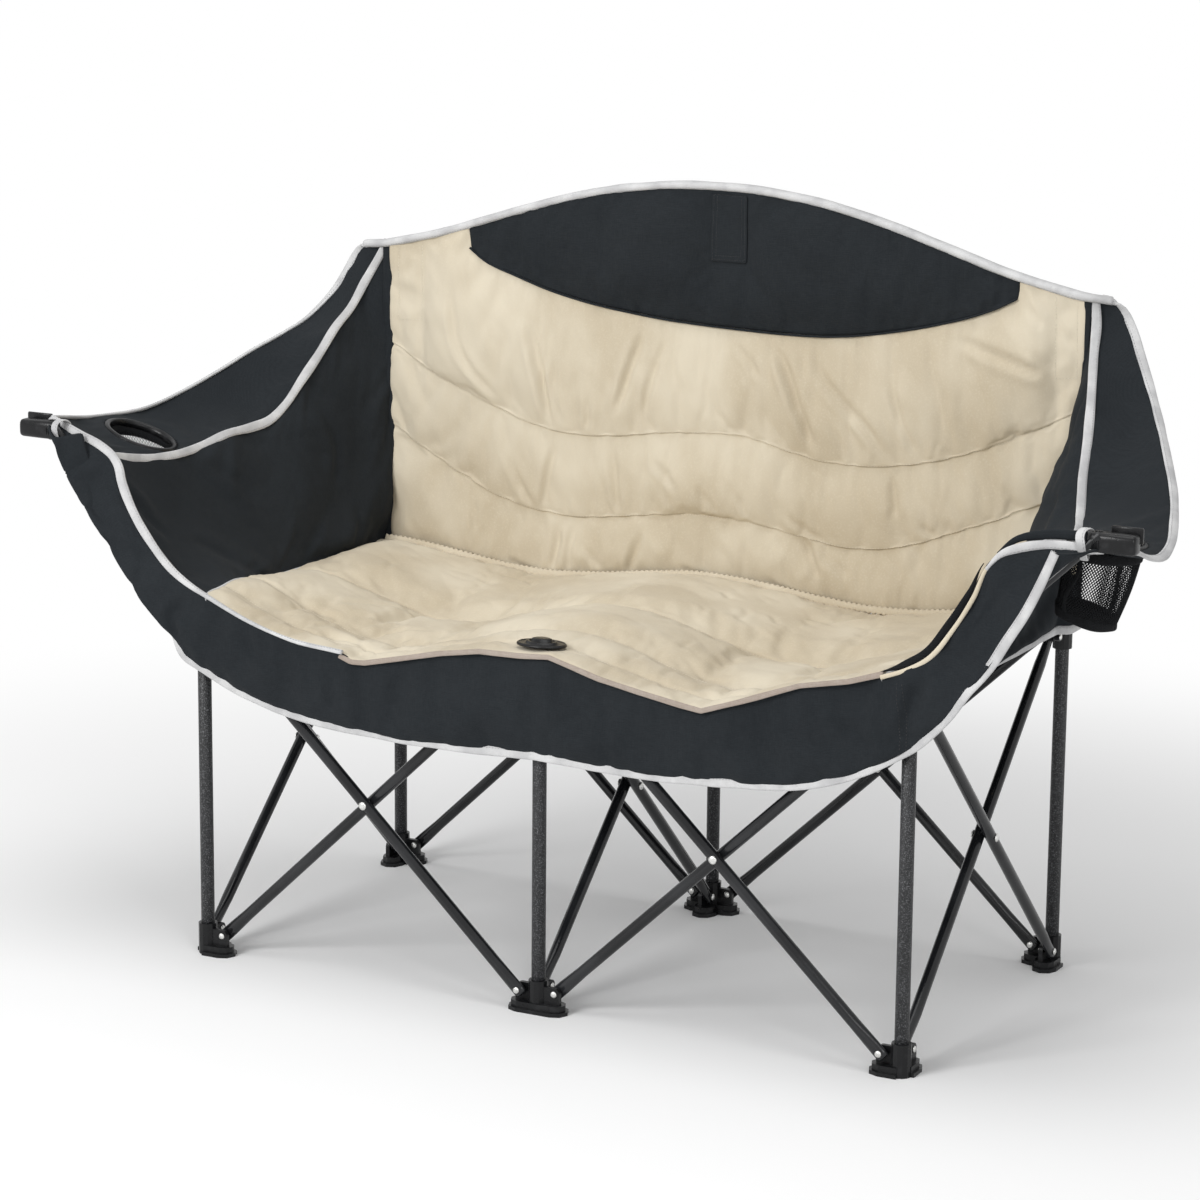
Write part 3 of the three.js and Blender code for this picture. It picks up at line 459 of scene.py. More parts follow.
CREAM = cream_cloth()
BLACK = woven("black_oxford", (0.0135, 0.0162, 0.0190), (0.0225, 0.0260, 0.0295), 0.0021)
BLACK_STRAP = woven("black_webbing", (0.0075, 0.008, 0.009), (0.017, 0.018, 0.0195), 0.0032)
EDGE = woven("taupe_edge_tape", (0.30, 0.245, 0.205), (0.40, 0.345, 0.30), 0.0018)
TAPE = grey_tape()
POST_PAINT = hammered_paint()
TUBE_PAINT = hard_finish(
    "gloss_black_paint", (0.01, 0.0105, 0.012), [(0.006, 0.0064, 0.0074), (0.018, 0.019, 0.021)],
    grain=(260.0, 2.0), relief=0.00006, wear=(12.0, 4.0), worn=(0.35, 0.7), roughness=(0.06, 0.12),
    specular_ior_level=0.42,
)
PLASTIC = hard_finish(
    "moulded_black_plastic", (0.009, 0.0093, 0.0105), [(0.007, 0.0072, 0.008), (0.022, 0.0225, 0.024)],
    grain=(900.0, 2.0), relief=0.00015, wear=(60.0, 4.0), worn=(0.5, 0.8), roughness=(0.2, 0.2),
    specular_ior_level=0.28,
)
ZINC = hard_finish(
    "bright_zinc", (0.72, 0.72, 0.70), [(0.62, 0.62, 0.60), (0.85, 0.85, 0.83)],
    grain=(900.0, 3.0), relief=0.0001, wear=(900.0, 3.0), worn=(0.3, 0.7), roughness=(0.22, 0.2),
    metallic=1.0,
)
CREAM_THREAD = thread("cream_thread", (0.72, 0.655, 0.535))
BLACK_THREAD = thread("black_thread", (0.012, 0.013, 0.015))
GREY_THREAD = thread("grey_thread", (0.40, 0.40, 0.405))


# Meshes


def new_object(name, vertices, faces, *materials):
    mesh = bpy.data.meshes.new(name)
    mesh.from_pydata([tuple(map(float, point)) for point in vertices], [], faces)
    mesh.update()
    made = bpy.data.objects.new(name, mesh)
    bpy.context.scene.collection.objects.link(made)
    for material in materials:
        mesh.materials.append(material)
    mesh.shade_smooth()
    return made


def reworked(piece, change):
    """The piece after a change to its mesh in editable form."""
    made = bmesh.new()
    made.from_mesh(piece.data)
    change(made)
    made.to_mesh(piece.data)
    made.free()
    return piece


def outward(piece):
    """Turns a closed mesh's faces outward."""
    reworked(piece, lambda made: bmesh.ops.recalc_face_normals(made, faces=made.faces))
    piece.data.shade_smooth()
    return piece


def remove_loose(piece):
    def cut(made):
        bmesh.ops.delete(made, geom=[v for v in made.verts if not v.link_faces], context="VERTS")

    return reworked(piece, cut)


def apply_modifiers(piece):
    bpy.context.view_layer.update()
    shaped = piece.evaluated_get(bpy.context.evaluated_depsgraph_get())
    mesh = bpy.data.meshes.new_from_object(shaped)
    piece.modifiers.clear()
    piece.data = mesh
    return piece


def subdivide(piece, levels=1):
    piece.modifiers.new("finer", "SUBSURF").levels = levels
    piece.modifiers["finer"].render_levels = levels
    return apply_modifiers(piece)


def line_through(points, count):
    """Evenly spaced points on a smooth curve through given ones."""
    points = np.array(points, float)
    steps = np.linalg.norm(np.diff(points, axis=0), axis=1)
    knots = np.concatenate([[0], np.cumsum(steps)])
    slopes = np.gradient(points, knots, axis=0)
    shares = np.linspace(0, knots[-1], 12 * len(points))
    found = np.clip(np.searchsorted(knots, shares) - 1, 0, len(steps) - 1)
    width = steps[found]
    t = ((shares - knots[found]) / width)[:, None]
    width = width[:, None]
    a, b = points[found], points[found + 1]
    fine = a * (1 + 2 * t) * (1 - t) ** 2 + b * t**2 * (3 - 2 * t)
    fine = fine + width * (slopes[found] * t * (1 - t) ** 2 - slopes[found + 1] * t**2 * (1 - t))
    return even(fine, count)


def even(line, count, carried=None):
    """Evenly spaced points on a line, or the values that it carries there."""
    line = np.array(line, float)
    carried = line if carried is None else carried
    along = np.concatenate([[0], np.cumsum(np.linalg.norm(np.diff(line, axis=0), axis=1))])
    wanted = np.linspace(0, along[-1], count)
    return np.stack([np.interp(wanted, along, values) for values in carried.T], axis=1)


def ease(low, high, value):
    share = np.clip((np.asarray(value, float) - low) / (high - low), 0, 1)
    return share * share * (3 - 2 * share)


def read_off(x, table):
    """Heights at x from a table of places and heights."""
    return np.interp(x, *zip(*table))


def line_at(x, y, z):
    """Points from their coordinates, any of which may be one value for all."""
    return np.stack(np.broadcast_arrays(x, y, z), axis=-1).astype(float)


def turns(count):
    return [2 * math.pi * k / count for k in range(count)]


def squared(value, power):
    """Pushes an angle's sine or cosine outward, so that a circle grows squarer."""
    return math.copysign(abs(value) ** power, value)


def ripple(points, scale, seed):
    """Smooth noise from -1 to 1 at each point."""
    shift = Vector((seed, 2 * seed, 3 * seed))
    flat = np.asarray(points, float).reshape(-1, 3)
    values = [noise.noise(Vector(point) * scale + shift) for point in flat]
    return np.array(values).reshape(np.asarray(points).shape[:-1])


def sheet_between(low, high, rear, front):
    """A grid of points that fills four borders: low and high run forward, rear and front run upward."""
    up = np.linspace(0, 1, len(rear))[:, None, None]
    along = np.linspace(0, 1, len(low))[None, :, None]
    grid = low[None] * (1 - up) + high[None] * up + rear[:, None] * (1 - along) + front[:, None] * along
    ends = low[0] * (1 - along) * (1 - up) + low[-1] * along * (1 - up)
    return grid - ends - high[0] * (1 - along) * up - high[-1] * along * up


def grid_faces(rows, columns, skip=None):
    faces = []
    for i in range(rows - 1):
        for j in range(columns - 1):
            if skip is None or not skip[i, j]:
                a = i * columns + j
                faces.append((a, a + 1, a + columns + 1, a + columns))
    return faces


def rim_of(rows, columns):
    rim = list(range(columns - 1))
    rim += [i * columns + columns - 1 for i in range(rows - 1)]
    rim += [(rows - 1) * columns + j for j in range(columns - 1, 0, -1)]
    return rim + [i * columns for i in range(rows - 1, 0, -1)]


def tube_faces(rings, sides, capped=True):
    """Faces of a tube through rings of points."""
    faces = []
    for i in range(rings - 1):
        for k in range(sides):
            a, b = i * sides + k, i * sides + (k + 1) % sides
            faces.append((a, b, b + sides, a + sides))
    if capped:
        faces.append(tuple(reversed(range(sides))))
        faces.append(tuple((rings - 1) * sides + k for k in range(sides)))
    return faces


def stuffed(name, front, back, *materials):
    """A closed shell between two grids of points with the same counts."""
    rows, columns = front.shape[:2]
    count = rows * columns
    faces = grid_faces(rows, columns)
    shell = faces + [tuple(count + k for k in reversed(face)) for face in faces]
    rim = rim_of(rows, columns)
    for k, a in enumerate(rim):
        b = rim[(k + 1) % len(rim)]
        shell.append((b, a, count + a, count + b))
    points = np.concatenate([front.reshape(-1, 3), back.reshape(-1, 3)])
    return outward(new_object(name, points, shell, *materials))


def places_of(piece, kind="co"):
    found = np.empty(3 * len(piece.data.vertices), np.float32)
    piece.data.vertices.foreach_get(kind, found)
    return found.reshape(-1, 3).astype(float)


def move_to(piece, points):
    piece.data.vertices.foreach_set("co", np.asarray(points, np.float32).ravel())
    piece.data.update()
    return piece


def held_along(shape, rows):
    """A grid that is 1 on its sewn rows and both sides, and 0 where the cloth is free."""
    held = np.zeros(shape)
    held[rows, :] = 1
    held[:, [0, -1]] = 1
    return held


def both_layers(held):
    """Holds of a pad's outer layer, with its lining held all over."""
    return np.concatenate([held.ravel(), np.ones(held.size)])


def billow(piece, held, pressure, slack, cap, gravity=0.0):
    """Lets the cloth of a piece swell from its sewn lines. held is 1 where a point is sewn fast."""
    rest = places_of(piece)
    group = piece.vertex_groups.new(name="sewn")
    for weight in np.unique(held):
        if weight > 0:
            group.add([int(k) for k in np.nonzero(held == weight)[0]], float(weight), "REPLACE")
    cloth = piece.modifiers.new("swell", "CLOTH")
    values = {
        "quality": 5, "mass": 0.15, "air_damping": 2.0, "tension_stiffness": 12, "compression_stiffness": 6,
        "shear_stiffness": 4, "bending_stiffness": 0.05, "vertex_group_mass": "sewn", "pin_stiffness": 5,
        "shrink_min": -slack, "use_pressure": pressure > 0, "uniform_pressure_force": pressure,
    }
    for key, value in values.items():
        setattr(cloth.settings, key, value)
    cloth.settings.effector_weights.gravity = gravity
    cloth.collision_settings.use_collision = False
    cloth.point_cache.frame_start = 1
    cloth.point_cache.frame_end = SIM_FRAMES
    scene = bpy.context.scene
    for step in range(1, SIM_FRAMES + 1):
        scene.frame_set(step)
    apply_modifiers(piece)
    scene.frame_set(1)
    travel = places_of(piece) - rest
    length = np.linalg.norm(travel, axis=1, keepdims=True)
    return move_to(piece, rest + travel * np.minimum(1, cap / np.maximum(length, 1e-9)))


def crease_heights(places, creases, width):
    """For each place, the depth of the valleys and the height of the crests beside them."""
    total = np.zeros(len(places))
    for strength, line in creases:
        line = line_through([(a, b, 0.0) for a, b in line], 24)[:, :2]
        spread = width * (0.8 + 0.3 * strength)
        inside = (places > line.min(axis=0) - 5 * spread) & (places < line.max(axis=0) + 5 * spread)
        near = np.nonzero(inside.all(axis=1))[0]
        if not len(near):
            continue
        step = np.diff(line, axis=0)
        gap = places[near][:, None] - line[None, :-1]
        share = np.clip((gap * step).sum(axis=2) / (step**2).sum(axis=1), 0, 1)
        gap = gap - share[:, :, None] * step
        apart = np.linalg.norm(gap, axis=2)
        best = apart.argmin(axis=1)
        pick = np.arange(len(near))
        along = (best + share[pick, best]) / len(step)
        side = step[best, 0] * gap[pick, best, 1] - step[best, 1] * gap[pick, best, 0]
        offset = np.copysign(apart[pick, best], side) / spread
        taper = ease(0, 0.4, along) * ease(0, 0.22, 1 - along)
        crest = 0.6 * np.exp(-(((offset + 2.0) / 1.25) ** 2))
        crest = crest + 0.25 * np.exp(-(((offset - 2.2) / 1.3) ** 2))
        total[near] += strength * taper * (crest - np.exp(-(offset**2)))
    return total


def press_creases(piece, creases, axes, towards, depth, width, through=False):
    """Sinks creases into the side of a piece that faces a direction, or right through a sheet."""
    points = places_of(piece)
    relief = crease_heights(points[:, axes], creases, width) * facing_share(piece, towards, through) * depth
    return move_to(piece, points + np.outer(relief, towards))


def facing_share(piece, towards, through):
    return 1.0 if through else np.clip(1.6 * places_of(piece, "normal") @ np.array(towards, float), 0, 1)


def slacken(piece, towards, depth, scales, seed, through=False):
    """Slack cloth: rounded swells with narrow valleys between them."""
    points = places_of(piece)
    leant = points * scales + points[:, [2, 0, 1]] * scales * 0.4
    swells = np.abs(ripple(leant, 1.0, seed)) + 0.4 * np.abs(ripple(leant, 2.3, seed + 5.0)) - 0.3
    relief = depth * swells * facing_share(piece, towards, through)
    return move_to(piece, points + np.outer(relief, towards))


def pleats_on(line, count, seed, reach, strength=0.6):
    """Short creases that end on a sewn line, at seeded places. The line is pairs that run along it."""
    draw = random.Random(seed)
    made = []
    for _ in range(count):
        place = draw.uniform(line[0, 0] + 0.02, line[-1, 0] - 0.02)
        foot = float(np.interp(place, line[:, 0], line[:, 1]))
        lean = draw.uniform(-0.009, 0.009)
        rise = reach * draw.uniform(0.45, 1.0)
        curve = [(place + lean, foot + rise), (place + 0.3 * lean, foot + 0.4 * rise), (place, foot)]
        made.append((strength * draw.uniform(0.4, 1.1), curve))
    return made


def laid_on(piece, line, towards):
    """Where a line lies on a piece, seen from the direction towards, with the surface normals there."""
    points = [tuple(v.co) for v in piece.data.vertices]
    tree = BVHTree.FromPolygons(points, [tuple(face.vertices) for face in piece.data.polygons])
    towards = Vector(towards).normalized()
    places, normals = [], []
    for point in line:
        hit, normal, _, _ = tree.ray_cast(Vector(point) + towards * 0.5, -towards, 1.0)
        if hit is not None:
            places.append(tuple(hit))
            normals.append(tuple(normal if normal.dot(towards) > 0 else -normal))
    return np.array(places), np.array(normals)


def tape_along(name, line, across, width, thickness, material=TAPE, seed=1.0, sewn=None, wobble=0.16):
    """A folded tape round an edge: a flattened section that follows the line. Width may vary."""
    count = len(line)
    tangent = np.gradient(line, axis=0)
    tangent /= np.linalg.norm(tangent, axis=1, keepdims=True)
    across = np.broadcast_to(np.asarray(across, float), (count, 3)).copy()
    across -= tangent * np.sum(across * tangent, axis=1, keepdims=True)
    across /= np.linalg.norm(across, axis=1, keepdims=True)
    normal = np.cross(tangent, across)
    rows = []
    swell = (1 + wobble * ripple(line, 24.0, seed))[:, None]
    width = np.broadcast_to(width, (count,))[:, None]
    for angle in turns(TAPE_SIDES):
        out = squared(math.cos(angle), 0.7) / 2
        up = squared(math.sin(angle), 0.8) * thickness / 2
        rows.append(line + across * out * width * swell + normal * up * (2 - swell))
    points = np.stack(rows, axis=1).reshape(-1, 3)
    tape = outward(new_object(name, points, tube_faces(count, TAPE_SIDES), material))
    if sewn is None:
        return tape
    seams = [tape]
    for face in (1, -1):
        seam = line + across * width * 0.3 * swell * sewn + normal * (face * thickness * 0.46)
        seams.append(stitches_along(seam, normal * face, GREY_THREAD, length=0.003, radius=0.00035))
    return joined(name, seams)


def stitches_along(line, normal, material, pitch=0.0042, length=0.0031, radius=0.0004):
    """A row of sewn stitches that lie on a surface along a line."""
    span = np.linalg.norm(np.diff(line, axis=0), axis=1).sum()
    count = max(2, int(span / pitch))
    centres = even(line, count)
    normals = even(line, count, np.broadcast_to(np.asarray(normal, float), line.shape))
    points, faces = [], []
    for centre, tangent, up in zip(centres, np.gradient(centres, axis=0), normals):
        centre = Vector(centre)
        tangent = Vector(tangent).normalized()
        up = Vector(up).normalized()
        side = tangent.cross(up).normalized()
        start = len(points)
        points.append(centre - tangent * length / 2)
        for share in (-0.25, 0.25):
            for out, rise in ((1, 0.2), (0, 1), (-1, 0.2), (0, -0.6)):
                points.append(centre + tangent * length * share + side * out * radius + up * rise * radius)
        points.append(centre + tangent * length / 2)
        for k in range(4):
            a, b = start + 1 + k, start + 1 + (k + 1) % 4
            faces += [(start, b, a), (a, b, b + 4, a + 4), (start + 9, a + 4, b + 4)]
    return outward(new_object("stitches", points, faces, material))


def sewn_on(piece, line, count, towards, material, lift=0.0, **sizes):
    """Stitches where a line lies on a piece."""
    places, normals = laid_on(piece, even(line, count), towards)
    return stitches_along(places + lift * np.array(towards), normals, material, **sizes)


def joined(name, pieces):
    """One object from several, with their materials."""
    target = pieces[0]
    with bpy.context.temp_override(
        active_object=target, selected_objects=pieces, selected_editable_objects=pieces
    ):
        bpy.ops.object.join()
    target.name = name
    target.data.name = name
    return target


def turned(name, profile, sides, material, squash=1.0):
    """A surface of revolution about Z from pairs of radius and height, closed on the axis."""
    points = [
        (radius * math.cos(angle), squash * radius * math.sin(angle), height)
        for radius, height in profile
        for angle in turns(sides)
    ]
    looped = profile[0] == profile[-1]
    piece = new_object(name, points, tube_faces(len(profile), sides, not looped), material)
    if looped:
        reworked(piece, lambda made: bmesh.ops.remove_doubles(made, verts=made.verts, dist=1e-6))
    return outward(piece)


def swept(name, rings, material):
    """A closed tube through rings of points with the same count."""
    points = [point for ring in rings for point in ring]
    return outward(new_object(name, points, tube_faces(len(rings), len(rings[0])), material))


def put(piece, matrix):
    piece.data.transform(matrix)
    return piece


def dress(piece, body, node=None):
    """Hangs a piece on its body, in place of the plain CAD node that it stands for."""
    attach(piece, body)
    if node:
        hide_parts(node)
    return piece


# Steel frame


def make_posts():
    for post, (x, y) in CORNERS.items():
        parts = [("leg_post", "post", POST_RADIUS, POST_PAINT, 0.0012, LEG_BODIES[post])]
        if post.startswith("F"):
            parts.append(("sliding_rod", "rod", ROD_RADIUS, TUBE_PAINT, 0.0008, HUB_BODIES[post]))
        for name, node, radius, paint, edge, body in parts:
            low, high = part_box(f"{node}_{post}")
            thin = radius - edge
            profile = [(thin, low.z), (radius, low.z + edge), (radius, high.z - edge), (thin, high.z)]
            bar = put(turned(f"{name}_{post}", profile, 28, paint), Matrix.Translation((x, y, 0)))
            dress(bar, body, f"{node}_{post}")


def tube_rings(length):
    """Rings of a crossing tube along X: round, and pressed flatter round its end pivots."""
    end = length + TUBE_OVERHANG
    span = math.hypot(BAY - 2 * POST_INSET, HUB_PIVOT - FOOT_PIVOT)
    flat, run_out, rim = 0.012, 0.034, 0.0015
    places = [-TUBE_OVERHANG, -TUBE_OVERHANG + rim, 0.0, flat, flat + run_out, span / 2]
    places += [span - flat - run_out, span - flat, span]
    places += [end - rim, end] if length < span + 0.01 else [span + flat, span + flat + run_out, end]
    rings = []
    for at in places:
        near = min(abs(at), abs(at - span))
        press = 1 - float(ease(flat, flat + run_out, near))
        tip = 0.8 if at in (places[0], end) else 1.0
        high = TUBE_RADIUS * (1 + 0.16 * press) * tip
        thick = TUBE_RADIUS * (1 - 0.34 * press) * tip
        rings.append([(at, thick * math.cos(angle), high * math.sin(angle)) for angle in turns(24)])
    return rings


def rivet_head(base, x, z, face, reach, radius, height):
    """A domed head on the side of a tube that faces along Y."""
    steps = [(1, 0), (1, 0.25), (0.86, 0.62), (0.5, 0.93), (0.12, 1)]
    head = turned("head", [(wide * radius, high * height) for wide, high in steps], 18, ZINC)
    lay = Matrix.Translation((x, face * reach, z)) @ Matrix.Rotation(-face * math.pi / 2, 4, "X")
    return put(head, base @ lay)


def make_tubes():
    rise, run = HUB_PIVOT - FOOT_PIVOT, BAY - 2 * POST_INSET
    span, slope = math.hypot(run, rise), math.atan2(rise, run)
    for panel, (first, second, side) in PANELS.items():
        a, b = Vector(CORNERS[first]), Vector(CORNERS[second])
        way = (b - a).normalized()
        left = Vector((-way.y, way.x))
        normal = Vector((abs(way.y), abs(way.x)))
        sense = side * (1 if left.dot(normal) > 0 else -1)
        base = Matrix.Translation((a.x, a.y, 0)) @ Matrix.Rotation(math.atan2(way.y, way.x), 4, "Z")
        reach = ARM_REACH if panel.startswith("front") else 0
        tubes = [
            (f"{first}_{second}", "a", POST_INSET, -slope, sense, span + reach),
            (f"{second}_{first}", "b", BAY - POST_INSET, slope - math.pi, -sense, span),
        ]
        for ends, letter, start, turn, lies, length in tubes:
            body = f"{panel}_tube_{letter}"
            spot = base @ Matrix.Translation((start, lies * TUBE_OFFSET, FOOT_PIVOT))
            spot = spot @ Matrix.Rotation(turn, 4, "Y")
            tube = put(swept(f"crossing_tube_{ends}", tube_rings(length), TUBE_PAINT), spot)
            dress(tube, body, f"tube_{ends}")
            heads = [
                rivet_head(spot, at, 0, lies * outer, 0.0053 if outer == 1 else 0.0141, 0.0045, 0.0022)
                for at in (0, span)
                for outer in (1, -1)
            ]
            dress(joined(f"pivot_rivets_{ends}", heads), body)
        middle = (BAY / 2, (FOOT_PIVOT + HUB_PIVOT) / 2)
        heads = [
            rivet_head(base, *middle, face, TUBE_OFFSET + TUBE_RADIUS, 0.0056, 0.0026) for face in (1, -1)
        ]
        dress(joined(f"crossing_rivet_{panel}", heads), f"{panel}_tube_a", f"rivet_{panel}")


def finish_frame_nodes():
    """The moulded feet and hubs keep their shapes and get softer edges and a finish."""
    for name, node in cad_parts.items():
        if name.startswith(("foot_", "hub_")):
            node.data.materials.clear()
            node.data.materials.append(PLASTIC)
            bevel = node.modifiers.new("soft_edges", "BEVEL")
            bevel.width = 0.0012
            bevel.segments = 2
            bevel.limit_method = "ANGLE"
            bevel.angle_limit = math.radians(35)
            bevel.harden_normals = False


# Cover lines


def rail(side):
    return line_through(FRONT_RAIL[side], 260)


def rail_part(side, first, last, count):
    """Part of the front rail between two of its chosen points."""
    line = rail(side)
    ends = [int(np.argmin(np.linalg.norm(line - FRONT_RAIL[side][k], axis=1))) for k in (first, last)]
    return even(line[ends[0] : ends[1] + 1], count)


# Seat


def seat_front_edge_height(x):
    return read_off(x, SEAT_FRONT_EDGE) + 0.004


def seat_height(x, y):
    """The top of the seat: it hangs between the rows of posts and sags in each place."""
    share = (y - SEAT_FRONT) / (SEAT_HINGE - SEAT_FRONT)
    sag = np.where(share < 0.5, 0.042 + 0.008 * share, 0.046 - 0.054 * (share - 0.5))
    hung = SEAT_TOP - sag * np.sin(np.pi * np.abs(x) / BAY) ** 2
    near_corner = ease(0.8 * SEAT_FRONT_HALF, SEAT_FRONT_HALF, np.abs(x))
    hung = hung + 0.022 * near_corner * (1 - ease(0.12, 0.5, share))
    hem = 1 - ease(0.0, 0.16, y - SEAT_FRONT)
    return hung * (1 - hem) + (seat_front_edge_height(x) + 0.001) * hem


def seat_half(y):
    share = (y - SEAT_FRONT) / (SEAT_HINGE - SEAT_FRONT)
    return SEAT_FRONT_HALF + (SEAT_HALF - SEAT_FRONT_HALF) * ease(0, 0.5, share)


def seat_seams(x):
    """The sewn lines across the seat, from its front edge to the back."""
    wave = np.cos(4 * np.pi * x)
    first, second = -0.225 + 0.006 * wave, -0.155 + 0.010 * wave
    return [SEAT_FRONT + 0 * x, first, second, SEAT_SEAM + 0 * x, SEAT_REAR + 0 * x]


def seat_pad(name, body, node, first, last):
    """A strip of the seat between two of its sewn lines: two layers, stuffed and quilted."""
    steps = [9, 12, 26] if first == 0 else [38]
    shares = np.linspace(-1, 1, 173)
    rows, sewn = [], [0]
    for k, count in enumerate(steps, first):
        rows += [(k, step / count) for step in range(count)]
        sewn.append(len(rows))
    rows.append((last - 1, 1.0))
    grid = np.zeros((len(rows), len(shares), 3))
    for i, (k, share) in enumerate(rows):
        guess = shares * SEAT_HALF
        for _ in range(3):
            seams = seat_seams(guess)
            y = seams[k] * (1 - share) + seams[k + 1] * share
            guess = shares * seat_half(y)
        grid[i, :, 0], grid[i, :, 1] = guess, y
    x, y = grid[:, :, 0], grid[:, :, 1]
    grid[:, :, 2] = seat_height(x, y)
    thin = 0.55 + 0.45 * ease(0, 0.03, 1 - np.abs(shares))[None, :]
    hem = ease(-0.001, 0.02, y - SEAT_FRONT)
    quilted = sewn[1:] if first == 0 else [0]
    front, back = grid - (0, 0, SEAM_DEPTH), grid.copy()
    front[quilted, :, 2] -= SEAM_DEPTH
    back[:, :, 2] -= SEAT_THICKNESS * thin * (0.6 + 0.4 * hem)
    pad = stuffed(name, front, back, CREAM, BLACK)
    held = held_along(x.shape, sewn)
    seam_lines = []
    if first == 0:
        held[np.hypot(x, y - (SEAT_FRONT + BUTTON_SETBACK)) < 0.04] = 1
        seam_lines = [grid[i] - (0, 0.003 * (i == sewn[-1]), 0) for i in quilted]
    billow(pad, both_layers(held), pressure=3.0, slack=0.03, cap=0.012)
    dress_underside(pad, x.size)
    subdivide(pad)
    slacken(pad, UPWARD, 0.0036, (9.0, 17.0, 9.0), 31.0)
    press_creases(pad, SEAT_CREASES, [0, 1], UPWARD, 0.0024, 0.0046)
    pleats = []
    for k, line in enumerate(seam_lines):
        pleats += pleats_on(line[:, :2], 24, 40 + k, 0.03, 0.5)
    press_creases(pad, pleats, [0, 1], UPWARD, 0.0012, 0.0032)
    threads = [sewn_on(pad, line, 400, UPWARD, CREAM_THREAD) for line in seam_lines]
    dress(pad, body, node)
    fold_seat(pad)
    if threads:
        fold_seat(dress(joined(f"{name}_stitches", threads), body))


def fold_seat(piece):
    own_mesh(piece)


def dress_underside(pad, front_count):
    """The faces of the rear or lower layer are black lining."""
    for face in pad.data.polygons:
        if min(face.vertices) >= front_count:
            face.material_index = 1


def make_seat():
    seat_pad("seat_cushion_front", "seat_front", "seat_pad_front", 0, 3)
    seat_pad("seat_cushion_rear", "seat_rear", "seat_pad_rear", 3, 4)
    x = np.linspace(-0.272, SEAT_FRONT_HALF, 200)
    line = line_at(x, SEAT_FRONT - 0.0012, seat_front_edge_height(x) - 0.0055)
    edge = tape_along("seat_edge_tape", line, (0, 0.2, 1), 0.0068, 0.0036, EDGE, 3.0)
    fold_seat(dress(edge, "seat_front"))


def make_button():
    radius = 0.033
    steps = [
        (1, 0), (1, 0.0018), (0.94, 0.0036), (0.9, 0.0026), (0.66, 0.0028), (0.62, 0.0052), (0.54, 0.0056),
        (0.5, 0.0036), (0.44, 0.0042), (0.4, 0.0082), (0.3, 0.0092), (0.05, 0.0092),
    ]
    button = turned("seat_fastener", [(share * radius, z) for share, z in steps], 48, PLASTIC, 0.78)
    spot = Matrix.Translation((0, SEAT_FRONT + BUTTON_SETBACK, SEAT_TOP - 0.004))
    put(button, spot @ Matrix.Rotation(math.radians(-3), 4, "X"))
    fold_seat(dress(button, "seat_front", "seat_button"))


# Back


def smoothed(line, reach=4, mode="edge"):
    width = 2 * reach + 1
    return np.convolve(np.pad(line, reach, mode=mode), np.ones(width) / width, mode="valid")


def back_top(x):
    fine = np.linspace(0, BACK_TOP[-1][0], 200)
    return np.interp(np.abs(x), fine, smoothed(read_off(fine, BACK_TOP), 12, "reflect"))


def top_panel_edge(x):
    line = line_through([(a, 0.0, b) for a, b in TOP_PANEL_EDGE], 120)
    return np.interp(x, line[:, 0], line[:, 2])


def back_seams(x):
    """The sewn lines across the back, from the seat to the dark top panel."""
    foot = seat_height(np.clip(x, -BAY, BAY), BACK_FRONT_FACE) - 0.006
    head = np.where((x >= TOP_PANEL[0]) & (x <= TOP_PANEL[1]), top_panel_edge(x), back_top(x))
    return [foot, smoothed(read_off(x, LOWER_SEAM)), smoothed(read_off(x, UPPER_SEAM)), head]


def upright_layers(x, heights, inset):
    """The front and rear layers of a pad that stands in the back's plane."""
    return [line_at(x, face, heights) for face in (BACK_FRONT_FACE + inset, BACK_REAR_FACE)]


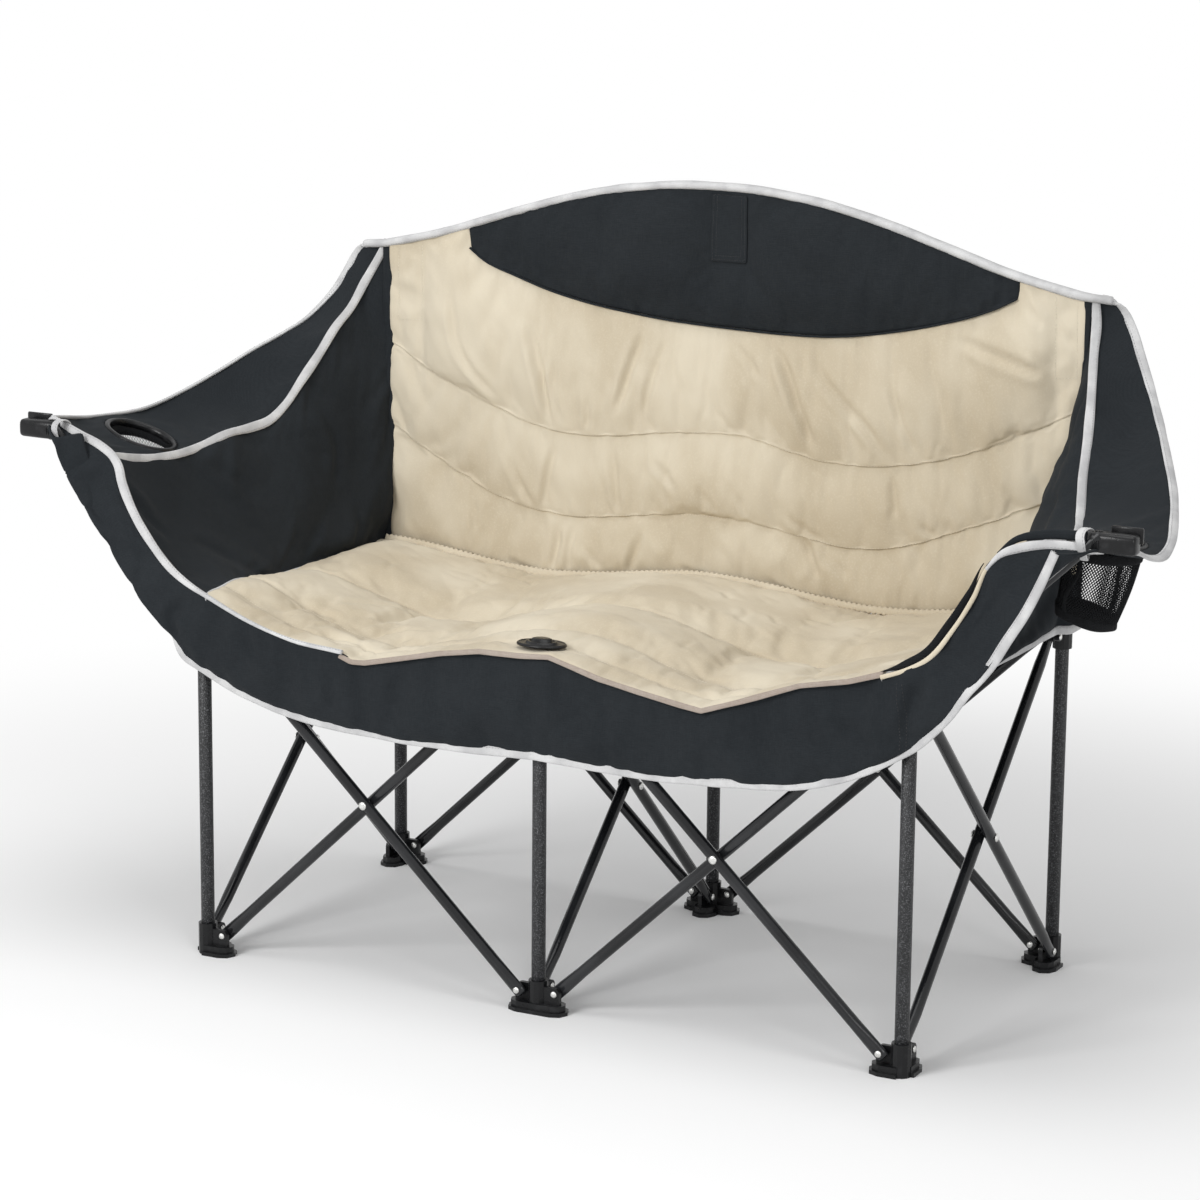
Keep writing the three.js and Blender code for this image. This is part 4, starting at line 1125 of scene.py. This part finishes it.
def make_back():
    inner = np.linspace(*TOP_PANEL, 131)
    left = np.linspace(BACK_SIDES[-1], TOP_PANEL[0] - PANEL_GAP, 20)
    right = np.linspace(TOP_PANEL[1] + PANEL_GAP, BACK_SIDES[1], 15)
    x = np.concatenate([left, inner, right])
    seams = back_seams(x)
    rows, sewn = [], [0]
    for k, count in enumerate([15, 18, 26]):
        for share in np.arange(count) / count:
            share -= 0.62 * math.sin(2 * math.pi * share) / (2 * math.pi)
            rows.append(seams[k] * (1 - share) + seams[k + 1] * share)
        sewn.append(len(rows))
    heights = np.array(rows + [seams[-1]])
    front, back = upright_layers(x, heights, 0.006)
    front[sewn[1:3], :, 1] += 0.003
    pad = stuffed("back_cushion", front, back, CREAM, BLACK)
    held = held_along(heights.shape, sewn)
    for post_side in (-0.485, -0.449, 0.485, 0.515):
        held[(np.abs(x - post_side) < 0.0035)[None, :] & (heights > 0.79)] = 1
    billow(pad, both_layers(held), pressure=3.0, slack=0.03, cap=0.022, gravity=0.25)
    dress_underside(pad, heights.size)
    subdivide(pad)
    slacken(pad, FORWARD, 0.0062, (15.0, 9.0, 8.0), 32.0)
    press_creases(pad, BACK_CREASES, [0, 2], FORWARD, 0.0036, 0.0044)
    pleats = []
    for k, seam in enumerate(seams[1:3]):
        line = np.stack([x, seam], axis=1)
        pleats += pleats_on(line, 22, 50 + k, 0.036, 0.42) + pleats_on(line, 12, 60 + k, -0.02, 0.25)
    pleats += pleats_on(np.stack([x, 0 * x + 0.462], axis=1), 24, 70, 0.03, 0.5)
    pleats += pleats_on(np.stack([inner, top_panel_edge(inner)], axis=1), 30, 71, -0.03, 0.45)
    press_creases(pad, pleats, [0, 2], FORWARD, 0.0020, 0.0032)
    lines = [line_at(x, 0, seam) for seam in seams[1:3]]
    lines += [[(a, 0, b) for a, b in pocket] for pocket in POCKET_SEAMS]
    threads = [sewn_on(pad, line, 500, FORWARD, CREAM_THREAD) for line in lines]
    hang_on_back(pad, "back_pad")
    hang_on_back(joined("back_cushion_stitches", threads))
    make_head_panel(inner)


def make_head_panel(x):
    x = np.concatenate([[x[0] - PANEL_LAP], x[1:-1], [x[-1] + PANEL_LAP]])
    low, high = top_panel_edge(x), back_top(x)
    heights = np.array([low * (1 - share) + high * share for share in np.linspace(0, 1, 27)])
    panel = stuffed("back_head_panel", *upright_layers(x, heights, 0.004), BLACK)
    held = held_along(heights.shape, [0, -1])
    under_patch = (np.abs(x - 0.0235) < 0.028)[None, :] & (heights > 0.90)
    held[under_patch] = 1
    billow(panel, both_layers(held), pressure=2.4, slack=0.02, cap=0.013)
    subdivide(panel)
    pleats = pleats_on(np.stack([x, low], axis=1), 36, 72, 0.03, 0.6)
    pleats += pleats_on(np.stack([x, high], axis=1), 30, 73, -0.03, 0.5)
    slacken(panel, FORWARD, 0.004, (12.0, 8.0, 8.0), 33.0)
    press_creases(panel, pleats, [0, 2], FORWARD, 0.0022, 0.0045)
    hang_on_back(panel, "back_top_panel")
    make_patch(panel)


def make_patch(panel):
    """The stitched strip at the middle of the head panel."""
    low, high, left, right = 0.9045, 0.994, -0.003, 0.050
    across, up = np.linspace(left, right, 11), np.linspace(low, high, 16)
    rows = [laid_on(panel, line_at(across, 0.2, z), FORWARD)[0] for z in up]
    points = np.array(rows).reshape(-1, 3) - (0, 0.0013, 0)
    patch = new_object("back_top_patch", points, grid_faces(len(up), len(across)), BLACK)
    thicken(patch, 0.0016)
    threads = []
    for inset in (0.0035, 0.0085):
        near, far, foot = left + inset, right - inset, low + inset
        corners = (near, foot), (far, foot), (far, high), (near, high), (near, foot)
        ring = [(a, 0.2, b) for a, b in corners]
        threads.append(sewn_on(patch, ring, 260, FORWARD, BLACK_THREAD, pitch=0.0036, length=0.0027))
    hang_on_back(patch)
    hang_on_back(joined("back_patch_stitches", threads))


def hang_on_back(piece, node=None):
    fold_seat(dress(piece, "middle_rear_leg", node))


def make_back_trim():
    x = np.linspace(BACK_SIDES[-1] - 0.006, BACK_SIDES[1] + 0.002, 261)
    line = line_at(x, (BACK_FRONT_FACE + BACK_REAR_FACE) / 2, back_top(x) + 0.001)
    line = np.concatenate([[ARM_OUTER[-1][1]], line, [ARM_OUTER[1][1]]])
    hang_on_back(tape_along("back_top_binding", even(line, 280), UPWARD, 0.0115, 0.018, TAPE, 5.0, sewn=-1))
    tucked = 0.0072
    for side, word, shows in ((-1, "left", 0.010), (1, "right", 0.0043)):
        z = np.linspace(0.466, float(back_top(BACK_SIDES[side])) - 0.004, 90)
        line = line_at(BACK_SIDES[side] + side * (shows - tucked) / 2, BACK_FRONT_FACE + 0.0085, z)
        wide = shows + tucked
        hang_on_back(tape_along(f"back_side_welt_{word}", line, (1, 0, 0), wide, 0.006, BLACK, 7.0))
    x = np.linspace(*TOP_PANEL, 181)
    line = line_at(x, BACK_FRONT_FACE + 0.0028, top_panel_edge(x))
    hang_on_back(tape_along("head_panel_welt", line, UPWARD, 0.0028, 0.0036, BLACK, 8.0))
    x = np.linspace(BACK_SIDES[-1] + 0.002, BACK_SIDES[1] - 0.006, 520)
    z = seat_height(np.clip(x, -BAY, BAY), BACK_FRONT_FACE) - 0.0004 + 0.0015 * np.sin(9 * x)
    rope = 0.0108 * (1 + 0.22 * np.sin(2 * np.pi * x / 0.0075))
    line = line_at(x, BACK_FRONT_FACE - 0.007, z)
    hang_on_back(tape_along("seat_back_welt", line, (0, 0.5, 1), rope, 0.0052, CREAM, 9.0))


# Front band


def band_upper_line():
    """The band's upper edge, from the left cap along the rail, under the seat pad, to the right cap."""
    x = np.linspace(-0.25, 0.462, 120)
    hidden = line_at(x, FRONT_ROW - 0.026, seat_front_edge_height(x) - 0.008)
    return np.concatenate([rail(-1), hidden, rail(1)[::-1]])


def band_lower_line():
    left, right = (
        line_through([(side * x, 0.0, z) for x, z in BAND_LOW[side]], 200) for side in (-1, 1)
    )
    line = np.concatenate([left[:0:-1], right])
    line[:, 1] = FRONT_ROW - 0.0185
    return line


def along_open_side(line):
    """The direction across a line that faces the viewer's side."""
    return np.cross(np.gradient(line, axis=0), OPEN_SIDE)


def make_band():
    low = even(band_lower_line(), 189)
    high = band_upper_line()
    across = np.maximum.accumulate(high[:, 0])
    reach = np.where(low[:, 0] < 0, across[0] / low[0, 0], across[-1] / low[-1, 0])
    high = np.stack([np.interp(low[:, 0] * reach, across, high[:, axis]) for axis in range(3)], axis=1)
    rows = np.linspace(0, 1, 21)
    grid = np.array([low * (1 - share) + high * share for share in rows])
    bow = np.sin(np.pi * rows)[:, None]
    out = np.abs(low[:, 0])
    outside = ease(0.5, 0.6, out) * (1 - ease(0.69, 0.72, out))
    grid[:, :, 1] -= 0.006 * bow
    grid[:, :, 1] -= 0.021 * outside[None, :] * (1 - rows[:, None] ** 4)
    turned_in = (1 - ease(0.0, 0.2, rows))[:, None] * ease(0.51, 0.58, -low[:, 0])[None, :]
    for axis, step in enumerate((0.018, 0.03, 0.008)):
        grid[:, :, axis] += step * turned_in
    grid[:, :, 1] -= 0.003 * ripple(grid, 9.0, 4.0) * bow
    shape, lower_edge = grid.shape[:2], grid[0].copy()
    band = new_object("front_skirt", grid.reshape(-1, 3), grid_faces(*shape), BLACK)
    held = held_along(shape, [0, -1])
    held[:, out < 0.006] = 1
    billow(band, held.ravel(), pressure=0.0, slack=0.02, cap=0.010, gravity=0.3)
    subdivide(band)
    slacken(band, FORWARD, 0.0055, (11.0, 9.0, 13.0), 34.0, through=True)
    press_creases(band, BAND_CREASES, [0, 2], FORWARD, 0.0034, 0.0065, through=True)
    threads = []
    for shift in (0.0, 0.0075):
        line = [(0.497 + shift, -0.27, 0.413), (0.499 + shift, -0.27, 0.45), (0.496 + shift, -0.27, 0.494)]
        threads.append(sewn_on(band, line, 60, FORWARD, BLACK_THREAD, lift=CLOTH / 2, radius=0.0005))
    thicken(band, CLOTH, 0)
    fold_seat(dress(band, "middle_front_hub", "front_band"))
    trims = make_band_trim(lower_edge, threads)
    for trim in trims:
        fold_seat(dress(trim, "middle_front_hub"))
    return band, trims


def make_band_trim(lower_edge, threads):
    line = even(lower_edge[lower_edge[:, 0] > -0.62], 460)
    width = 0.0132 * (1 + 0.16 * ripple(line, 7.0, 23.0))
    lower = tape_along("skirt_lower_binding", line, (0, 0.15, 1), width, 0.0052, TAPE, 12.0, sewn=1)
    trims = [lower, joined("skirt_stitches", threads)]
    for side, word in ((-1, "left"), (1, "right")):
        line = rail(side) + 0.003 * np.array(OPEN_SIDE)
        passed = np.linspace(0, 1, len(line))
        narrowed = ease(0.40, 0.70, passed) if side < 0 else ease(0.30, 0.42, passed)
        width = (0.0115 - 0.0060 * narrowed) * (1 + 0.1 * ripple(line, 14.0, 19.0 + side))
        lean = along_open_side(line)
        cut = len(line) if side < 0 else 112
        name = f"front_rail_binding_{word}"
        trims.append(tape_along(name, line[:cut], lean[:cut], width[:cut], 0.0056, TAPE, 11.0, -1))
    rest, lean, width = line[cut - 3 :], lean[cut - 3 :], width[cut - 3 :]
    trims.append(tape_along("front_rail_piping", rest, lean, width, 0.005, CREAM, 12.0))
    share = np.linspace(0, 1, len(rest))
    wide = 0.0012 + 0.0095 * ease(0, 0.3, share) * ease(0, 0.25, 1 - share)
    beside = rest + (-0.007, 0.005, 0.0035)
    trims.append(tape_along("front_rail_webbing", beside, lean, wide, 0.003, BLACK_STRAP, 13.0))
    strip = line_through(ARM_END_STRIP, 60)
    wide = 0.0125 - 0.008 * np.linspace(0, 1, 60) ** 2
    trims.append(tape_along("arm_end_webbing", strip, along_open_side(strip), wide, 0.003, BLACK, 14.0))
    return trims


def thicken(piece, thickness, levels=1):
    solid = piece.modifiers.new("cloth_thickness", "SOLIDIFY")
    solid.thickness = thickness
    solid.offset = 0
    apply_modifiers(piece)
    return subdivide(piece, levels) if levels else piece


# Arms


def arm_low_edge(side, corner, count):
    y = np.linspace(0.2414, corner[1] + 0.02, count)
    x = seat_half(y) + 0.0025
    x[y > 0.2] = np.maximum(x[y > 0.2] - 0.004, abs(BACK_SIDES[side]) + 0.003)
    line = line_at(side * x, y, seat_height(side * x, y) - 0.009)
    return even(np.concatenate([line, corner[None]]), count)


def arm_grid(side, columns=68, side_rows=33, strip_rows=21):
    """Rows from the seat up to the inner seam and on to the outer edge, columns to the front."""
    upright = rail_part(side, SEAM_END, PAD_CORNER[side], side_rows)[::-1]
    end = rail_part(side, 0, SEAM_END, strip_rows)[::-1]
    inner = line_through(ARM_INNER[side] + [tuple(upright[-1])], columns)
    outer = line_through(ARM_OUTER[side] + [tuple(end[-1])], columns)
    low = arm_low_edge(side, upright[0], columns)
    edge = BACK_SIDES[side] - 0.004 * side
    rear = [tuple(low[0]), (edge, 0.243, 0.56), (edge, 0.245, 0.72), (edge, 0.246, 0.84), tuple(inner[0])]
    panel = sheet_between(low, inner, line_through(rear, side_rows), upright)
    strip = sheet_between(inner, outer, even([inner[0], outer[0]], strip_rows), end)
    up = np.linspace(0, 1, side_rows)[:, None]
    along = np.linspace(0, 1, columns)[None, :]
    swell = np.sin(np.pi * up**1.2) * np.sin(np.pi * np.clip(along * 1.25, 0, 1)) ** 1.3
    panel[:, :, 0] -= side * ARM_BULGE[side] * swell
    return np.concatenate([panel, strip[1:]]), side_rows - 1, inner, outer, low


def cup_plane(side, places):
    """Heights on the sloping flat round a cup holder: it leans inwards and back."""
    inwards, back = (math.tan(math.radians(angle)) for angle in CUP_TILT[side])
    x, y, z = CUP_CENTRE[side]
    return z + inwards * (np.abs(places[..., 0]) - abs(x)) - back * (places[..., 1] - y)


def make_arm(word, side):
    grid, seam_row, inner, outer, low = arm_grid(side)
    rows, columns = grid.shape[:2]
    centre = np.array(CUP_CENTRE[side])
    apart = np.linalg.norm(grid[:, :, :2] - centre[:2], axis=2)
    strip = (np.arange(rows) > seam_row)[:, None]
    flatten = (1 - ease(0.053, 0.07, apart)) * strip
    grid[:, :, 2] = grid[:, :, 2] * (1 - flatten) + cup_plane(side, grid) * flatten
    middles = (grid[:-1, :-1] + grid[1:, 1:]) / 2
    hole = np.linalg.norm(middles[:, :, :2] - centre[:2], axis=2) < 0.0475
    hole &= (np.arange(rows - 1) >= seam_row)[:, None]
    arm = new_object(f"arm_cloth_{word}", grid.reshape(-1, 3), grid_faces(rows, columns, hole), BLACK)
    held = held_along((rows, columns), [0, seam_row, rows - 1])
    held[strip & (apart < 0.06)] = 1
    billow(arm, held.ravel(), pressure=0.0, slack=0.015, cap=0.010, gravity=0.25)
    remove_loose(arm)
    subdivide(arm)
    slacken(arm, (-side, 0, 0), 0.006, (9.0, 9.0, 12.0), 35.0 + side, through=True)
    press_creases(arm, ARM_CREASES[side], [1, 2], (-side, 0, 0), 0.0042, 0.0075, through=True)
    thicken(arm, CLOTH, 0)
    body = f"{word}_arm"
    fold_arm(dress(arm, body, f"arm_panel_{word}"))
    inner, outer, hem = even(inner, 200), even(outer, 200), even(low, 120) - (0, 0, 0.002)
    spread = along_open_side(inner)
    inner = inner + 0.002 * np.array(OPEN_SIDE)
    slanted = (side * 0.75, 0, -0.45)
    trims = [
        tape_along(f"arm_outer_binding_{word}", outer, slanted, 0.0118, 0.0046, TAPE, 13.0, -1),
        tape_along(f"arm_seam_binding_{word}", inner, spread, 0.0122, 0.0042, TAPE, 14.0, -1),
        tape_along(f"arm_side_hem_{word}", hem, (side * 0.1, 0, 1), 0.0115, 0.0048, TAPE, 15.0, 1),
    ]
    for trim in trims:
        fold_arm(dress(trim, body))
    return arm, trims


def fold_arm(piece):
    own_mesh(piece)


def squared_ring(x, centre, wide, high, power, count):
    """A ring across X, between a circle and a square."""
    y, z = centre
    return [
        (x, y + squared(math.cos(angle), power) * wide, z + squared(math.sin(angle), power) * high)
        for angle in turns(count)
    ]


def make_cap(word, side):
    """The moulded cap on the arm's tube: a slender rounded grip with a clip behind and a tape loop."""
    low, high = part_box(f"arm_cap_{word}")
    body = f"front_{word}_tube_a"
    y, z = (low.y + high.y) / 2, (low.z + high.z) / 2 - (0.005 if side > 0 else 0.0)
    tip = max(abs(low.x), abs(high.x)) - (0.011 if side > 0 else 0.0)
    steps = [(-0.056, 0.8), (-0.0545, 0.93), (-0.052, 1), (-0.03, 1), (-0.004, 0.97)]
    steps += [(-0.0012, 0.9), (0, 0.74)]
    rings = [
        squared_ring(side * (tip + at), (y, z), wide * 0.0112, wide * 0.0122, 0.55, 40)
        for at, wide in steps
    ]
    parts = [swept(f"pole_cap_{word}", rings, PLASTIC)]
    around = np.linspace(0, 2 * math.pi, 41)
    for at in (-0.0505, -0.0475, -0.0445):
        line = line_at(side * (tip + at), y + 0.0118 * np.cos(around), z + 0.0128 * np.sin(around))
        parts.append(tape_along("rib", line, (1, 0, 0), 0.0012, 0.0016, PLASTIC, wobble=0.0))
    clip = (y + 0.0135, z + 0.0088)
    steps = [(-0.037, 0.7), (-0.036, 1.0), (0.0005, 1.0), (0.0015, 0.7)]
    rings = [
        squared_ring(side * (tip + at), clip, 0.0022 * wide, 0.0095 * (0.6 + 0.4 * wide), 0.4, 28)
        for at, wide in steps
    ]
    parts.append(swept("bracket", rings, PLASTIC))
    dress(joined(f"pole_cap_{word}", parts), body, f"arm_cap_{word}")
    angles = np.linspace(0, 2 * math.pi, 73)
    up, out = np.sin(angles), np.cos(angles)
    x = side * (tip - 0.063) + 0.002 * np.sin(2 * angles)
    loop = line_at(x, y + 0.015 * out - 0.003, z + np.where(up > 0, 0.0145, 0.022) * up)
    dress(tape_along(f"cap_loop_{word}", loop, (1, 0, 0), 0.0105, 0.0024, TAPE, 18.0, 1), body)


def bag_point(side, share, angle, radius=1.0):
    """A point of the net: it hangs crooked, its outer side lower, and sags in soft folds."""
    inwards, back = (math.tan(math.radians(tilt)) for tilt in CUP_TILT[side])
    wide = 0.0455 * (1 - share) + 0.0355 * share
    waist = 0.07 * math.sin(3 * angle + 1.4) * math.sin(math.pi * share)
    dent = 1 + waist + 0.03 * math.sin(5 * angle) * share
    x = wide * dent * radius * math.cos(angle)
    y = wide * dent * radius * math.sin(angle)
    fall = 0.30 * side * x * share
    sink = 0.004 * (1 - radius**2) * share
    rise = (inwards * side * x - back * y) * (1 - share)
    return (x - side * 0.022 * share, y, -0.004 - 0.088 * share - fall - sink + rise)


def make_net(word, side, spot):
    """The bag's strands: a slanted lattice round it and a square one in its floor."""
    around, down, rings = NET_AROUND, NET_DOWN, NET_FLOOR_RINGS
    points, faces = [], []
    for i in range(down + 1):
        for angle in turns(2 * around)[i % 2 :: 2]:
            points.append(bag_point(side, i / down, angle))
    for i in range(down - 1):
        for k in range(around):
            left = (i + 1) * around + (k - 1 + i % 2) % around
            right = (i + 1) * around + (k + i % 2) % around
            faces.append((i * around + k, left, (i + 2) * around + k, right))
    for ring in range(1, rings):
        points += [bag_point(side, 1.0, angle, 1 - ring / rings) for angle in turns(around)]
    for ring in range(rings - 1):
        above = (down + ring) * around
        below = above + around
        for k in range(0, around, 2):
            faces.append((above + k, above + (k + 2) % around, below + (k + 2) % around, below + k))
    net = put(new_object(f"cup_net_{word}", points, faces, BLACK_STRAP), spot)
    remove_loose(net)
    wires = net.modifiers.new("strands", "WIREFRAME")
    wires.thickness = 0.0016
    wires.use_boundary = True
    wires.use_even_offset = False
    return apply_modifiers(net)


def make_cup_holder(word, side):
    spot = Matrix.Translation(CUP_CENTRE[side])
    inwards, back = map(math.radians, CUP_TILT[side])
    tilted = spot @ Matrix.Rotation(-side * inwards, 4, "Y") @ Matrix.Rotation(-back, 4, "X")
    inner, outer = 0.0428, 0.0512
    profile = [
        (inner, -0.006), (inner + 0.001, 0.0015), (inner + 0.0035, 0.0035), (outer - 0.003, 0.0035),
        (outer, 0.002), (outer, 0.0005), (outer - 0.002, -0.001), (inner + 0.003, -0.002),
        (inner + 0.002, -0.006), (inner, -0.006),
    ]
    ring = put(turned(f"cup_rim_{word}", profile, 56, PLASTIC), tilted)
    body = f"{word}_arm"
    fold_arm(dress(ring, body, f"cup_ring_{word}"))
    fold_arm(dress(make_net(word, side, spot), body, f"cup_bag_{word}"))
    trims = []
    for share, lift, width in ((0.07, 0.001, 0.017), (0.97, 0.0, 0.0125)):
        line = [bag_point(side, share, angle) for angle in np.linspace(0, 2 * math.pi, 97)]
        line = np.array(line) * (1.01, 1.01, 1) + (0, 0, lift)
        trims.append(tape_along("hem", line, UPWARD, width, 0.0022, BLACK_STRAP, 16.0))
    rings, sides = 6, 48
    disc = [
        bag_point(side, 0.995, angle, ring / rings)
        for ring in range(1, rings + 1)
        for angle in turns(sides)
    ]
    faces = [tuple(range(sides))] + tube_faces(rings, sides, False)
    floor = outward(new_object("floor", disc, faces, BLACK_STRAP))
    trims.append(floor)
    for angle in (-1.9, 1.1):
        shares = np.linspace(0, 1, 40)
        line = np.array([bag_point(side, share, angle + 0.12 * math.sin(6 * share)) for share in shares])
        across = (-math.sin(angle), math.cos(angle), 0)
        trims.append(tape_along("seam", line, across, 0.0062, 0.0019, BLACK_STRAP, 17.0))
    for trim in trims:
        put(trim, spot)
    thicken(floor, 0.0014, 0)
    fold_arm(dress(joined(f"net_tapes_{word}", trims), body))


# Rear post pockets


def make_pockets():
    for post in ("BL", "BC", "BR"):
        x, y = CORNERS[post]
        low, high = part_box(f"pocket_{post}")
        rings = []
        for height in np.linspace(low.z, high.z, 18):
            close = 1 - 0.18 * float(ease(high.z - 0.012, high.z, height))
            ring = []
            for angle in turns(32):
                wing = (0.0115 + 0.0105 * abs(math.cos(angle)) ** 3) * close
                depth = 0.0115 * (0.35 + 0.65 * abs(math.sin(angle)) ** 0.8)
                sway = 0.0006 * math.sin(90 * height + 3 * angle)
                thick = (depth + sway) * close
                ring.append((x + wing * math.cos(angle), y + thick * math.sin(angle), height))
            rings.append(ring)
        sleeve = swept(f"post_sleeve_{post}", rings, BLACK_STRAP)
        dress(sleeve, LEG_BODIES[post], f"pocket_{post}")


# Light, floor and camera


def make_floor():
    corners = [(-40, -40, 0), (40, -40, 0), (40, 40, 0), (-40, 40, 0)]
    floor = new_object("studio_floor", corners, [(0, 1, 2, 3)])
    white = Finish("studio_white", (0.94, 0.94, 0.94), roughness=0.9, specular_ior_level=0.0)
    x, y, _ = white.axes(white.place())
    distance = (x * x + y * y) ** 0.5
    path = white.tree.nodes.new("ShaderNodeLightPath")
    seen = Wire(white, path.outputs["Is Camera Ray"]) + Wire(white, path.outputs["Is Glossy Ray"])
    seen = seen + Wire(white, path.outputs["Is Transmission Ray"])
    glow = white.node("ShaderNodeEmission", None, {"Color": (1, 1, 1, 1), "Strength": 1.0})
    mixed = white.tree.nodes.new("ShaderNodeMixShader")
    white.fill(mixed, {0: seen.above(0.5) * distance.span(0.8, 2.1)})
    white.tree.links.new(white.shader.outputs[0], mixed.inputs[1])
    white.tree.links.new(glow.socket, mixed.inputs[2])
    output = white.tree.nodes["Material Output"]
    white.tree.links.new(mixed.outputs[0], output.inputs["Surface"])
    floor.data.materials.append(white.material)


def make_world(strength):
    world = bpy.data.worlds.new("studio")
    bpy.context.scene.world = world
    world.use_nodes = True
    tree = world.node_tree
    tree.nodes.clear()
    output = tree.nodes.new("ShaderNodeOutputWorld")
    soft = tree.nodes.new("ShaderNodeBackground")
    soft.inputs["Strength"].default_value = strength
    backdrop = tree.nodes.new("ShaderNodeBackground")
    path = tree.nodes.new("ShaderNodeLightPath")
    largest = tree.nodes.new("ShaderNodeMath")
    largest.operation = "MAXIMUM"
    mix = tree.nodes.new("ShaderNodeMixShader")
    seen = [path.outputs["Is Camera Ray"], path.outputs["Is Glossy Ray"]]
    parts = [node.outputs[0] for node in (largest, soft, backdrop)]
    links = [*zip(seen, largest.inputs), *zip(parts, mix.inputs), (mix.outputs[0], output.inputs[0])]
    for start, end in links:
        tree.links.new(start, end)


def make_lamp(name, place, target, size, power):
    lamp = bpy.data.lights.new(name, "AREA")
    lamp.shape = "DISK"
    lamp.size = size
    lamp.energy = power
    made = bpy.data.objects.new(name, lamp)
    bpy.context.scene.collection.objects.link(made)
    made.location = place
    made.rotation_mode = "QUATERNION"
    made.rotation_quaternion = (Vector(target) - Vector(place)).to_track_quat("-Z", "Y")


def make_camera():
    """The photograph's viewpoint: in front, to the right and a little above the seat."""
    place = Vector((2.18598, -4.24682, 1.53347))
    yaw, pitch, roll = map(math.radians, (27.694, 12.3455, 0.5164))
    ahead = Vector((-math.sin(yaw) * math.cos(pitch), math.cos(yaw) * math.cos(pitch), -math.sin(pitch)))
    level = Vector((math.cos(yaw), math.sin(yaw), 0))
    above = level.cross(ahead)
    right = level * math.cos(roll) + above * math.sin(roll)
    up = above * math.cos(roll) - level * math.sin(roll)
    turn = Matrix((right, up, -ahead)).transposed()
    camera = bpy.data.cameras.new("photo_camera")
    camera.sensor_width = 36.0
    camera.lens = 113.064
    camera.clip_end = 200
    made = bpy.data.objects.new("photo_camera", camera)
    bpy.context.scene.collection.objects.link(made)
    made.matrix_world = Matrix.Translation(place) @ turn.to_4x4()
    bpy.context.scene.camera = made


make_camera()
make_posts()
make_tubes()
finish_frame_nodes()
make_seat()
make_button()
make_back()
make_back_trim()
band, band_trims = make_band()
for word, side, arm_area in (("left", -1, 0.186), ("right", 1, 0.193)):
    arm, arm_trims = make_arm(word, side)
    make_cup_holder(word, side)
    make_cap(word, side)
make_pockets()
make_floor()
make_world(0.62)
make_lamp("key_light", (-1.7, -4.4, 2.9), (0, 0, 0.6), 2.2, 150)
make_lamp("fill_light", (3.2, -3.4, 2.2), (0, 0, 0.5), 1.4, 30)
make_lamp("top_light", (0.4, -0.4, 4.4), (0, 0, 0.5), 3.0, 52)

bpy.context.scene.view_settings.view_transform = "Standard"
